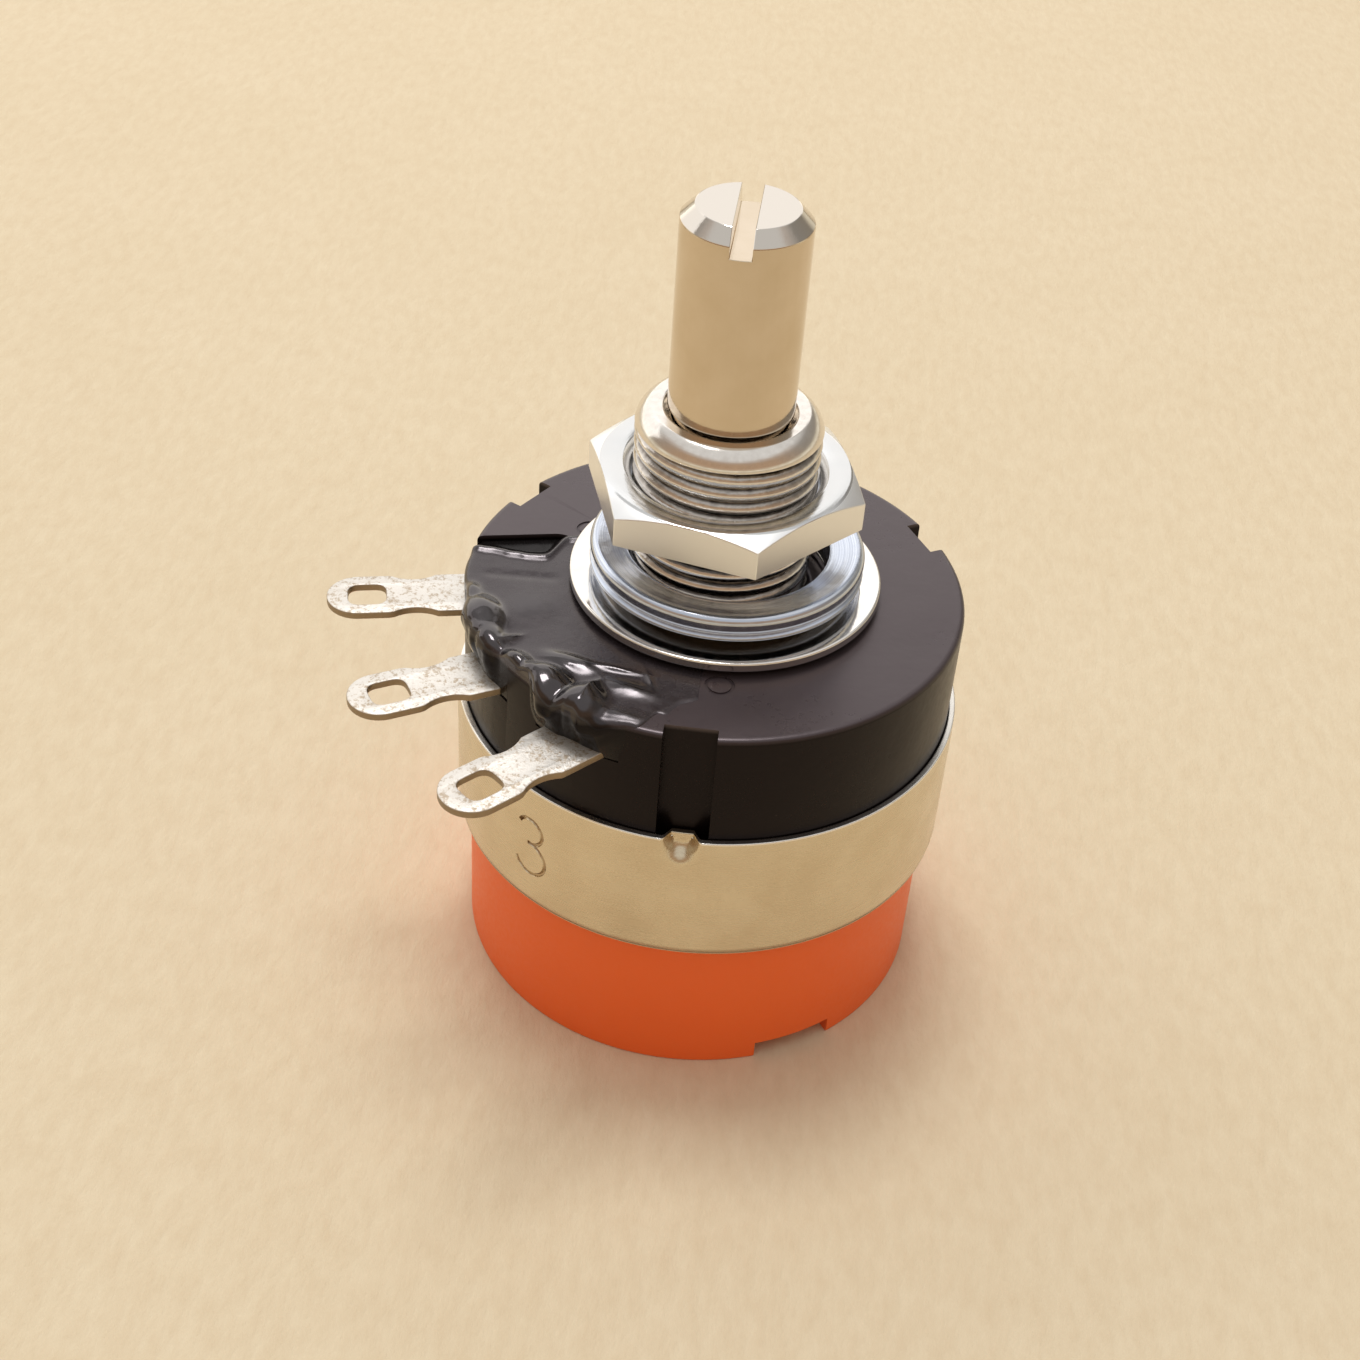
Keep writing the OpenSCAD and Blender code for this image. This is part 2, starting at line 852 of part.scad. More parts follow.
module divider_plate() {
    color([0.5, 0.33, 0.2])
        tube(divider_hole_r, seat_r - disc_gap, divider_bottom, -mould_len);
}

module rim_notch() {
    translate([rim_in - cut, -notch_w / 2, -rear_drop - cut])
        cube([rim_t + 2 * cut, notch_w, rim_depth + cut]);
}

module switch_housing() {
    color([0.85, 0.3, 0.1])
        difference() {
            rotate_extrude()
                polygon([[0, floor_z], [chamber_r, floor_z], [chamber_r, divider_bottom],
                    [flange_r, divider_bottom], [flange_r, lip_top], [housing_r, lip_top],
                    [housing_r, -rear_drop], [rim_in, -rear_drop], [rim_in, rear_outer],
                    [0, rear_outer]]);
            rotate([0, 0, notch_az])
                rim_notch();
            for (s = [-1, 1])
                at_post(s) {
                    rim_notch();
                    translate([post_at, 0, rear_outer - cut])
                        cylinder(r = post_hole_r, h = rear_t + 2 * cut);
                }
            translate([0, spring_seat, spring_z])
                rotate([90, 0, 0])
                    cylinder(r = spring_bore_r, h = spring_seat - chamber_r + cut);
        }
}

// Cam on the shaft's tang: its lobe holds the contact lever open at the start of the turn
module switch_driver() {
    color([0.9, 0.88, 0.8])
        translate([0, 0, driver_bottom])
            difference() {
                union() {
                    cylinder(r = hub_r, h = driver_h);
                    sector(tang_r + cut, lobe_r, driver_h, 90 - lobe_half_az, 90 + lobe_half_az);
                }
                translate([0, 0, -cut])
                    linear_extrude(driver_h + 2 * cut)
                        double_d(tang_r + seat_gap, tang_flat + seat_gap);
            }
}

// Frame of the contact lever, open: x runs along its arm from the pivot post
module at_lever() {
    translate([-post_x, post_y, 0])
        rotate([0, 0, open_az])
            children();
}

// Moulded follower: round nose on the cam, spring pocket at the back, peg down into the lever
module cam_follower() {
    color([0.88, 0.86, 0.78])
        difference() {
            union() {
                translate([0, nose_y, lever_top])
                    cylinder(r = nose_r, h = nose_top - lever_top);
                translate([-nose_r, nose_y, lever_top])
                    cube([2 * nose_r, follower_back - nose_y, nose_top - lever_top]);
                translate([-follower_half, nose_y + nose_r, lever_top])
                    cube([2 * follower_half, follower_back - nose_y - nose_r, nose_top - lever_top]);
                at_lever()
                    translate([post_x, lever_in + lever_t / 2, lever_top - peg_depth])
                        cylinder(r = peg_r, h = peg_depth + cut);
            }
            translate([0, follower_back + cut, spring_z])
                rotate([90, 0, 0])
                    cylinder(r = spring_bore_r, h = spring_pocket + cut);
        }
}

// Arm that turns on the first post and carries the contact button at its free end
module contact_lever() {
    color([0.82, 0.6, 0.4])
        at_lever()
            difference() {
                union() {
                    translate([0, 0, floor_z])
                        cylinder(r = lever_ring_r, h = lever_top - floor_z);
                    translate([0, lever_in, lever_low])
                        cube([lever_len, lever_t, lever_h]);
                }
                translate([0, 0, floor_z - cut])
                    cylinder(r = post_r + pivot_gap, h = lever_top - floor_z + 2 * cut);
                translate([post_x, lever_in + lever_t / 2, lever_top - peg_depth])
                    cylinder(r = peg_r + seat_gap, h = peg_depth + cut);
                translate([2 * post_x, lever_in - cut, button_z])
                    rotate([-90, 0, 0])
                        cylinder(r = button_r / 2 + seat_gap, h = lever_t + 2 * cut);
            }
}

// Contact button, riveted through the lever
module moving_contact() {
    color([0.8, 0.78, 0.74])
        at_lever()
            translate([2 * post_x, lever_in, button_z])
                rotate([-90, 0, 0]) {
                    translate([0, 0, -button_t])
                        cylinder(r = button_r, h = button_t);
                    cylinder(r = button_r / 2, h = lever_t);
                    translate([0, 0, lever_t])
                        cylinder(r = button_r, h = button_t / 2);
                }
}

// Push-on ring that keeps the lever on its pivot post
module lever_clip() {
    color([0.35, 0.35, 0.36])
        translate([-post_x, post_y, 0])
            tube(post_r + seat_gap, post_r + clip_ring_w, lever_top + disc_gap, lever_top + disc_gap + clip_ring_t);
}

// Coil spring along +Y between the cam follower and the housing wall
module contact_spring() {
    coil_from = spring_from + wire_d / 2 + seat_gap;
    coil_rise = spring_seat - seat_gap - wire_d / 2 - coil_from;
    steps = coil_count * coil_seg;
    points = [for (k = [0:steps]) for (j = [0:wire_seg - 1])
        let (a = 360 * k / coil_seg, b = 360 * j / wire_seg, r = coil_r + wire_d / 2 * cos(b))
        [r * cos(a), coil_from + coil_rise * k / steps + wire_d / 2 * sin(b), spring_z - r * sin(a)]];
    sides = [for (k = [0:steps - 1]) for (j = [0:wire_seg - 1])
        let (n = (j + 1) % wire_seg)
        [k * wire_seg + j, k * wire_seg + n, (k + 1) * wire_seg + n, (k + 1) * wire_seg + j]];
    end_a = [[for (j = [0:wire_seg - 1]) wire_seg - 1 - j]];
    end_b = [[for (j = [0:wire_seg - 1]) steps * wire_seg + j]];
    color([0.6, 0.6, 0.62])
        polyhedron(points = points, faces = concat(sides, end_a, end_b));
}

module switch_lug(s) {
    color([0.78, 0.77, 0.74])
        at_post(s)
            translate([0, 0, rear_outer - swlug_t])
                linear_extrude(swlug_t)
                    difference() {
                        union() {
                            translate([post_at, -swlug_w / 2])
                                square([swlug_tip - swlug_w / 2 - post_at, swlug_w]);
                            translate([post_at, 0])
                                circle(d = swlug_w);
                            translate([swlug_tip - swlug_w / 2, 0])
                                circle(d = swlug_w);
                        }
                        translate([swlug_eye_x, 0])
                            rounded_rect(eye_len, eye_w, eye_corner);
                        translate([post_at, 0])
                            circle(r = post_hole_r);
                    }
}

module switch_lug_1() {
    switch_lug(1);
}

module switch_lug_2() {
    switch_lug(-1);
}

// Post inside the switch: the first carries the lever, the second meets its button; the headed
// shank clamps the lug outside
module contact_post(s) {
    lug_bottom = rear_outer - swlug_t;
    color([0.8, 0.62, 0.42])
        at_post(s)
            translate([post_at, 0, 0])
                rotate_extrude()
                    polygon([[0, post_top], [post_r, post_top], [post_r, floor_z], [post_shank_r, floor_z],
                        [post_shank_r, lug_bottom], [post_head_r, lug_bottom],
                        [post_head_r, lug_bottom - post_head_t], [0, lug_bottom - post_head_t]]);
}

module contact_post_1() {
    contact_post(1);
}

module contact_post_2() {
    contact_post(-1);
}

front_moulding();
threaded_bush();
shaft();
retaining_clip();
flat_washer();
dished_washer();
hex_nut();
element_disc();
carbon_track();
collector_ring();
terminal_1();
terminal_2();
terminal_3();
terminal_rivet_1();
terminal_rivet_2();
terminal_rivet_3();
potting_compound();
rotor_disc();
rotor_retainer();
wiper_spring();
track_brush();
collector_brush();
case_band();
divider_plate();
switch_housing();
switch_driver();
cam_follower();
contact_lever();
moving_contact();
lever_clip();
contact_spring();
switch_lug_1();
switch_lug_2();
contact_post_1();
contact_post_2();
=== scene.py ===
"""Looks of a panel potentiometer with a rear switch.

Metres, in the frame of the solids: the origin is on the shaft axis at the front face of the black moulding,
and +Z points to the shaft tip. Every finished piece rides on the body of the solid that it stands for;
the spring is not attached to a body.
"""
import json
import math

import bmesh
import bpy
from mathutils import Matrix, Vector, noise


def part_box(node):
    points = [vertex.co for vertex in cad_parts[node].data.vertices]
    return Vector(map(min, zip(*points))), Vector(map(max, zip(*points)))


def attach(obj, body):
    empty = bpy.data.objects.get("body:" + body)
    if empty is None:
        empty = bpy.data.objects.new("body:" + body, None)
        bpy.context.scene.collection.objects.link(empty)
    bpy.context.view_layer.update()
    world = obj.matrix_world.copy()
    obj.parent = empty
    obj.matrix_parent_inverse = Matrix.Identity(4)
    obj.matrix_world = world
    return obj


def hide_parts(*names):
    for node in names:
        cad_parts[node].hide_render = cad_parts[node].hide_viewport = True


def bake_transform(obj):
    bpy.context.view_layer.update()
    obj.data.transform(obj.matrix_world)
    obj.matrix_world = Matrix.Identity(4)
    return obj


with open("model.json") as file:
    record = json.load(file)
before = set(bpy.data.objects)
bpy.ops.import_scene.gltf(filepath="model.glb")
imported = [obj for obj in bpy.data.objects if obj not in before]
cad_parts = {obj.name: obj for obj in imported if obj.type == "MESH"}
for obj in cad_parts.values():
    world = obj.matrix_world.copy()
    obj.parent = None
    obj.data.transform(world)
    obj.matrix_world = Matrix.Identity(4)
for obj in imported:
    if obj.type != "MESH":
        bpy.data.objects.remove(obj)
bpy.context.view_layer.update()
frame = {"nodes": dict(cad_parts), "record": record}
nodes = frame["nodes"]
scene = bpy.context.scene

MM = 0.001
TURN = 2 * math.pi
LATHE_STEPS = 180
CUT_PAST = 2 * MM
POINT_MERGE = 1e-8
Z_TO_Y = Matrix.Rotation(math.radians(-90), 4, "X")
# A rounded corner: its steps, the most it takes of a side, and how far out its guard points lie
CORNER_STEPS = 6
CORNER_SHARE = 0.4
GUARD_REACH = 1.15
# Inputs of the node tree that winds the thread and the spring
HELIX_INPUTS = {
    "Pitch": "Float", "Turns": "Float", "Radius": "Float", "Section": "Float",
    "Start height": "Float", "Steps per turn": "Int", "Finish": "Material",
}

# Shaft
shaft_low, shaft_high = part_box("shaft")
SHAFT_R = shaft_high.x
SHAFT_CHAMFER = 0.65 * MM
SHAFT_EDGE = 0.05 * MM
SHOULDER_GAP = 0.1 * MM
SLOT_W = 1.0 * MM
SLOT_DEPTH = 1.2 * MM
SLOT_AZ = math.radians(87)
JOURNAL_R = 2.75 * MM
JOURNAL_END = -5.25 * MM
NECK_R = 2.4 * MM
NECK_END = -6.75 * MM
TANG_R = 1.7 * MM

# Threaded bush
bush_low, bush_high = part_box("threaded_bush")
THREAD_R = 4.5 * MM
THREAD_DEPTH = 0.42 * MM
THREAD_PITCH = 0.75 * MM
THREAD_TURNS = 11.75
THREAD_STEPS = 96
THREAD_FILLET = 0.09 * MM
THREAD_GAP = 0.1 * MM
THREAD_RUNOUT = 0.2 * MM
CROWN_W = 0.8 * MM
CROWN_DROP = 0.9 * MM
CROWN_INSET = 0.03 * MM
CROWN_UNDERCUT = 0.32 * MM
CROWN_FULLNESS = 1.3
CROWN_STEPS = 12
BUSH_MOUTH_R = 3.2 * MM
BUSH_BORE_R = 2.78 * MM
BUSH_EDGE = 0.08 * MM

# Nut and washers
nut_low, nut_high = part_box("hex_nut")
NUT_FLATS = 12.0 * MM
NUT_AZ = math.radians(-15)
NUT_CORNER_DROP = 0.5 * MM
NUT_FACE_INSET = 0.05 * MM
NUT_SINK = 0.35 * MM
NUT_BORE_R = THREAD_R + 0.08 * MM
NUT_SIDE_STEPS = 24
NUT_EDGE = 0.06 * MM
flat_low, flat_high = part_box("flat_washer")
dish_low, dish_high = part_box("dished_washer")
WASHER_BORE_R = 5.0 * MM
FLAT_EDGE = 0.13 * MM
DISH_LIP = dish_low.z + 0.58 * MM
DISH_LIP_T = 0.15 * MM
DISH_LIP_W = 0.5 * MM
DISH_FOOT_W = 0.2 * MM
DISH_GROOVE = 0.16 * MM
DISH_GROOVE_H = 0.22 * MM
DISH_BEAD_H = 0.62 * MM
DISH_CREST_W = 0.08 * MM
DISH_BEAD_R = 0.38 * MM
DISH_HOLLOW = 0.12 * MM
DISH_EDGE = 0.07 * MM

# Black moulding
mould_low, mould_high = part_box("front_moulding")
MOULD_R = mould_high.x
MOULD_BEVEL = 0.3 * MM
MOULD_EDGE = 0.09 * MM
MOULD_BORE_R = THREAD_R + 0.02 * MM
BOSS_R = 6.0 * MM
WALL_T = 3.2 * MM
CAVITY_R = MOULD_R - 1.4 * MM
GROOVE_W = 2.5 * MM
GROOVE_DEPTH = 0.85 * MM
GROOVE_AZ = [math.radians(-92.5 + 120 * k) for k in range(3)]
EJECTOR_AT = ((-6.6 * MM, 3.6 * MM), (0.6 * MM, -8.3 * MM))
EJECTOR_IN, EJECTOR_OUT = 0.55 * MM, 0.72 * MM
EJECTOR_DEPTH = 0.06 * MM
EJECTOR_TOP = 0.3 * MM
CHANNEL_W = 4.4 * MM
CHANNEL_START = MOULD_R - 5.8 * MM
CHANNEL_CORNER = 1.0 * MM

# Terminals and switch lugs
TERMINALS = ("terminal_1", "terminal_2", "terminal_3")
TERM_AZ = math.radians(208)
TERM_FAN = math.radians(16.6)
TERM_OFFSET = 0.65 * MM
TERM_PITCH = 2.95 * MM
TERM_W = 3.1 * MM
TERM_ROOT = CAVITY_R - 1.8 * MM
TERM_TIP = MOULD_R + 6.75 * MM
WAIST_W = 2.4 * MM
WAIST_X = MOULD_R + 2.4 * MM
WAIST_CUT_R = 2.0 * MM
EYE_LEN = 1.9 * MM
EYE_W = 1.65 * MM
EYE_CORNER = 0.6 * MM
EYE_INSET = 2.0 * MM
LUG_EDGE = 0.06 * MM
LUG_STATIONS = 64
LUG_MERGE = 1e-7
lug_low, lug_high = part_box("terminal_1")
swlug_low, swlug_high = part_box("switch_lug_1")
POST_AT = 6.0 * MM
SWLUG_W = 3.2 * MM
SWLUG_AZ = {"switch_lug_1": math.radians(120), "switch_lug_2": math.radians(60)}

# Case band and its digit
band_low, band_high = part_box("case_band")
BAND_R = band_high.x
BAND_T = 0.35 * MM
BAND_EDGE = 0.09 * MM
FOOT_GAP = 0.02 * MM
BAND_STEPS = 720
BAND_ROWS = 40
CRIMP_W = 1.55 * MM
CRIMP_H = 1.2 * MM
CRIMP_R = MOULD_R - GROOVE_DEPTH + 0.08 * MM
CRIMP_SAG = 0.2
CRIMP_SAG_H = 0.3 * MM
DIGIT_AZ = math.radians(-128.2)
DIGIT_Z = -10.35 * MM
DIGIT_STROKE = 0.11 * MM
DIGIT_UPPER_R = 0.78 * MM
DIGIT_LOWER_R = 0.98 * MM
STROKE_SIDES = 8

# Orange housing and its spring
housing_low, housing_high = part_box("switch_housing")
FLANGE_R = housing_high.x
HOUSING_R = 12.11 * MM
HOUSING_BEVEL = 0.14 * MM
HOUSING_EDGE = 0.07 * MM
CHAMBER_R = HOUSING_R - 1.41 * MM
RIM_T = 1.2 * MM
RIM_DEPTH = 1.0 * MM
REAR_T = 2.15 * MM
NOTCH_W = 4.3 * MM
NOTCH_PAST = 1 * MM
NOTCH_AZ = [math.radians(a) for a in (-60, 60, 120)]
SWLUG_TIP = HOUSING_R + 6.3 * MM
spring_low, spring_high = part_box("contact_spring")
spring_middle = (spring_low + spring_high) / 2
WIRE_R = 0.15 * MM
WIRE_SIDES = 16
COIL_TURNS = 4
COIL_STEPS = 48
SPRING_SEAT_R = spring_high.x + 0.275 * MM
SPRING_SEAT_DEPTH = 0.6 * MM

# Resin laid over the terminals, in mm and degrees
RESIN_IN = 6.4
RESIN_OUT = 12.36
RESIN_STEP_IN = 1.2
RESIN_FLOOR = -2.4
RESIN_FROM, RESIN_TO = 155, 268
RESIN_COLUMNS = 339
RESIN_ROWS = 84
RESIN_FILM = 0.06
RESIN_JOIN = 0.13
RESIN_SHOULDER = 0.35
SHOULDER_ROWS = 8
RESIN_WALL_ROWS = 16
RESIN_FLOOR_ROWS = 8
LUMP_FOOT = 0.35
HALF_CHANNEL = CHANNEL_W / MM / 2
TROUGH_W = 1.9
TROUGH_FLOOR = -0.32
TROUGH_BEAD = 0.15
SCAR_Y = -1.05
SCAR_W = 0.32
SCAR_DEPTH = 0.05
# Each lump: place from the axis, half length, half width, heading of its length, height over the face
RESIN_LUMPS = (
    (-11.0, -4.6, 2.2, 1.5, 110, 0.66),
    (-10.6, -6.3, 1.9, 1.3, 118, 0.55),
    (-11.8, -2.9, 1.3, 0.9, 100, 0.36),
    (-8.9, -3.4, 2.7, 2.3, 30, 0.08),
    (-9.1, -8.2, 1.4, 1.3, 140, 0.66),
    (-7.5, -9.3, 1.9, 1.6, 150, 0.86),
    (-5.7, -10.6, 1.9, 1.5, 60, 0.80),
    (-6.4, -7.7, 2.4, 0.9, 160, 0.30),
    (-3.6, -9.2, 2.4, 0.9, 165, 0.22),
    (-3.6, -11.2, 1.9, 0.6, 165, 0.12),
)
# Each fold: middle of its crest, half length, half width, heading, height over the face
RESIN_FOLDS = (
    (-5.4, -10.2, 1.7, 1.0, 70, 0.86),
    (-8.2, -8.9, 1.6, 0.9, 150, 0.80),
    (-9.6, -6.4, 1.2, 0.5, 35, 0.34),
    (-4.6, -7.9, 2.6, 0.6, 172, 0.26),
    (-2.6, -8.6, 1.4, 0.5, 110, 0.16),
)
# Each overhang of the rim: heading, half width in degrees, reach
RESIN_DRIPS = ((204, 11, 0.50), (212, 6, 0.45), (236, 8, 0.70), (244, 11, 0.62), (183, 7, 0.10))

# Camera, as the photograph was taken
PHOTO_PX = 1360
ORIGIN_PX = (715.87, 581.0)
FOCAL_PX = 2025.86
SENSOR_MM = 36
CAMERA_DISTANCE = 100.7 * MM
CAMERA_ELEVATION = math.radians(35.337)
CAMERA_ROLL = math.radians(-5.013)

# Floor, lights and room
FLOOR_R = 3.0
FLOOR_SIDES = 64
WINDOW_AT = Vector((-0.28, 0.50, 0.27))
WINDOW_SIZE = (1.35, 0.44)
WINDOW_RADIANCE = 1.0
LAMP_AT = Vector((-0.05, 0.17, 0.65))
LAMP_SIZE = (0.21, 0.21)
LAMP_RADIANCE = 14.5
LIGHT_COLOUR = (1.0, 0.98, 0.96)
ROOM_STRENGTH = 0.76
WALL_FOOT = (0.40, 0.34, 0.26)
WALL_TOP = (0.44, 0.41, 0.37)
FRONT_WALL = (0.62, 0.42, 0.27)
PALE_WALL = (0.84, 0.76, 0.60)
CEILING = (1.0, 0.98, 0.95)
WALL_TO = 0.55
CEILING_FROM = 0.72

# Finishes of the solids that stay as they are: name, colour, other colour, metallic, roughness
INNER_FINISHES = {
    "laminate": ("laminate_brown", (0.36, 0.20, 0.10), (0.44, 0.27, 0.14), 0.0, 0.6),
    "carbon": ("carbon_film", (0.02, 0.02, 0.02), (0.05, 0.05, 0.05), 0.0, 0.7),
    "silver": ("silver_film", (0.74, 0.73, 0.71), (0.62, 0.61, 0.60), 1.0, 0.35),
    "rivet_brass": ("rivet_brass", (0.70, 0.56, 0.30), (0.60, 0.46, 0.24), 1.0, 0.3),
    "rotor_phenolic": ("rotor_phenolic", (0.16, 0.09, 0.05), (0.22, 0.13, 0.08), 0.0, 0.5),
    "bronze": ("spring_bronze", (0.72, 0.52, 0.28), (0.62, 0.42, 0.22), 1.0, 0.28),
    "spring_steel": ("spring_steel", (0.34, 0.34, 0.35), (0.24, 0.24, 0.26), 1.0, 0.35),
    "nylon": ("natural_nylon", (0.80, 0.76, 0.66), (0.72, 0.68, 0.57), 0.0, 0.45),
    "contact_alloy": ("contact_alloy", (0.72, 0.50, 0.34), (0.62, 0.42, 0.28), 1.0, 0.3),
}


class Nodes:
    """A node tree as it is built up."""

    def __init__(self, tree):
        self.tree = tree
        tree.nodes.clear()

    def add(self, kind, **properties):
        node = self.tree.nodes.new(kind)
        for name, value in properties.items():
            setattr(node, name, value)
        return node

    def join(self, source, target):
        self.tree.links.new(source, target)

    def feed(self, target, value):
        """Gives an input the output of another node, or a constant."""
        if isinstance(value, bpy.types.NodeSocket):
            self.join(value, target)
        else:
            target.default_value = value

    def math(self, operation, first, second):
        node = self.add("ShaderNodeMath", operation=operation)
        self.feed(node.inputs[0], first)
        self.feed(node.inputs[1], second)
        return node.outputs["Value"]

    def span(self, source, low, high, to_low=0.0, to_high=1.0):
        """A value run from one range to another, held at the ends."""
        span = self.add("ShaderNodeMapRange")
        self.join(source, span.inputs["Value"])
        for name, value in (("From Min", low), ("From Max", high), ("To Min", to_low), ("To Max", to_high)):
            span.inputs[name].default_value = value
        return span.outputs["Result"]

    def blend(self, factor, low, high):
        """A colour between two colours or outputs."""
        mix = self.add("ShaderNodeMix", data_type="RGBA")
        self.join(factor, mix.inputs["Factor"])
        ends = [socket for socket in mix.inputs if socket.type == "RGBA"]
        for socket, colour in zip(ends, (low, high)):
            self.feed(socket, (*colour, 1) if isinstance(colour, tuple) else colour)
        return next(socket for socket in mix.outputs if socket.type == "RGBA")


class Look(Nodes):
    """A material round one Principled shader, whose patterns lie on Object coordinates."""

    def __init__(self, name, **sockets):
        self.material = bpy.data.materials.new(name)
        self.material.use_nodes = True
        super().__init__(self.material.node_tree)
        self.shader = self.add("ShaderNodeBsdfPrincipled")
        self.join(self.shader.outputs["BSDF"], self.add("ShaderNodeOutputMaterial").inputs["Surface"])
        for socket, value in sockets.items():
            self.shader.inputs[socket.replace("_", " ")].default_value = value

    def drive(self, socket, source):
        self.join(source, self.shader.inputs[socket])

    def place(self, stretch=(1, 1, 1), offset=(0, 0, 0)):
        """Object coordinates, stretched and shifted."""
        mapping = self.add("ShaderNodeMapping", vector_type="POINT")
        mapping.inputs["Location"].default_value = offset
        mapping.inputs["Scale"].default_value = stretch
        self.join(self.add("ShaderNodeTexCoord").outputs["Object"], mapping.inputs["Vector"])
        return mapping.outputs["Vector"]

    def cloud(self, size, detail=3, stretch=(1, 1, 1), roughness=0.55):
        """Noise whose patches are about the given size across."""
        cloud = self.add("ShaderNodeTexNoise")
        cloud.inputs["Scale"].default_value = 1 / size
        cloud.inputs["Detail"].default_value = detail
        cloud.inputs["Roughness"].default_value = roughness
        self.join(self.place(stretch), cloud.inputs["Vector"])
        return cloud.outputs["Fac"]

    def radius(self, centre=(0, 0)):
        """Distance from a line along Z."""
        flat = self.place(stretch=(1, 1, 0), offset=(-centre[0], -centre[1], 0))
        length = self.add("ShaderNodeVectorMath", operation="LENGTH")
        self.join(flat, length.inputs[0])
        return length.outputs["Value"]

    def height(self):
        split = self.add("ShaderNodeSeparateXYZ")
        self.join(self.place(), split.inputs["Vector"])
        return split.outputs["Z"]

    def lines(self, along, size, detail=2):
        """Irregular lines across a distance, about the given size apart."""
        lines = self.add("ShaderNodeTexNoise", noise_dimensions="1D")
        lines.inputs["Scale"].default_value = 1 / size
        lines.inputs["Detail"].default_value = detail
        self.join(along, lines.inputs["W"])
        return lines.outputs["Fac"]

    def bump(self, *heights):
        """Raises the surface by each (source, depth) pair."""
        normal = None
        for source, depth in heights:
            bump = self.add("ShaderNodeBump")
            bump.inputs["Strength"].default_value = 1
            bump.inputs["Distance"].default_value = depth
            self.join(source, bump.inputs["Height"])
            if normal:
                self.join(normal, bump.inputs["Normal"])
            normal = bump.outputs["Normal"]
        self.drive("Normal", normal)


def black_moulding():
    """Moulded phenolic: near black with a soft sheen, a grey painted into its face as sheen, and a few
    specks of dust.
    """
    look = Look("black_moulding", Specular_Tint=(1.0, 0.86, 0.92, 1.0))
    flow = look.cloud(6 * MM, 4)
    grain = look.cloud(0.35 * MM, 5)
    dust = look.span(look.cloud(0.5 * MM, 6, roughness=0.7), 0.70, 0.78)
    on_face = look.span(look.height(), -0.25 * MM, -0.02 * MM)
    look.drive("Specular IOR Level", look.span(on_face, 0.0, 1.0, 0.17, 0.68))
    dark = look.blend(flow, (0.003, 0.002, 0.002), (0.006, 0.004, 0.004))
    # The face is coloured grey while the sides stay near black: painted sheen.
    bloom_and_sheen = look.blend(flow, (0.038, 0.029, 0.032), (0.053, 0.042, 0.046))
    surface = look.blend(on_face, dark, bloom_and_sheen)
    look.drive("Base Color", look.blend(look.math("MULTIPLY", dust, 0.25), surface, (0.22, 0.19, 0.17)))
    rough = look.math("ADD", flow, look.math("MULTIPLY", grain, 0.5))
    look.drive("Roughness", look.span(rough, 0.4, 1.1, 0.22, 0.40))
    look.bump((grain, 0.004 * MM), (flow, 0.06 * MM))
    return look.material


def potting_resin():
    """Hand-laid black resin: glossy on the lumps and drips, duller where it lies flat, where a little grey
    is painted in as sheen.
    """
    look = Look("potting_resin", Specular_Tint=(1.0, 0.92, 0.97, 1.0))
    waves = look.cloud(1.6 * MM, 3)
    haze = look.cloud(0.5 * MM, 4)
    raised = look.span(look.height(), 0.10 * MM, 0.24 * MM)
    below = look.span(look.height(), -0.05 * MM, -0.25 * MM)
    proud = look.span(look.radius(), MOULD_R + 0.04 * MM, MOULD_R + 0.16 * MM)
    gloss = look.math("MAXIMUM", raised, proud)
    sheen = look.span(below, 0.0, 1.0, 0.6, 0.17)
    look.drive("Specular IOR Level", look.math("ADD", sheen, look.math("MULTIPLY", raised, 0.4)))
    # Flat resin is coloured grey like the moulding's face: painted sheen.
    flat = look.blend(waves, (0.022, 0.018, 0.020), (0.034, 0.027, 0.030))
    black = look.math("MAXIMUM", gloss, below)
    look.drive("Base Color", look.blend(black, flat, (0.006, 0.005, 0.005)))
    dull = look.span(haze, 0.35, 0.7, 0.20, 0.34)
    look.drive("Roughness", look.math("SUBTRACT", dull, look.math("MULTIPLY", gloss, 0.13)))
    look.bump((waves, 0.03 * MM), (haze, 0.004 * MM))
    return look.material


def shaft_nickel():
    """Nickel plate over a brass shaft: drawing marks along it, a warm tarnish, and a neutral colour on the
    tip that is dimmed for how it is lit (painted shade).
    """
    look = Look("shaft_nickel", Metallic=1.0)
    marks = look.cloud(0.16 * MM, 3, stretch=(1, 1, 0.02))
    tarnish = look.cloud(2.5 * MM, 4)
    side = look.blend(look.span(tarnish, 0.35, 0.7), (0.68, 0.58, 0.46), (0.63, 0.53, 0.40))
    # The tip gets its own neutral copy of the nickel, dimmed for how brightly it is lit: painted shade.
    tip_edge = shaft_high.z - SHAFT_CHAMFER
    at_tip = look.span(look.height(), tip_edge, tip_edge + 0.05 * MM)
    look.drive("Base Color", look.blend(at_tip, side, (0.66, 0.62, 0.57)))
    look.drive("Roughness", look.span(marks, 0.3, 0.7, 0.075, 0.13))
    look.bump((marks, 0.003 * MM))
    return look.material


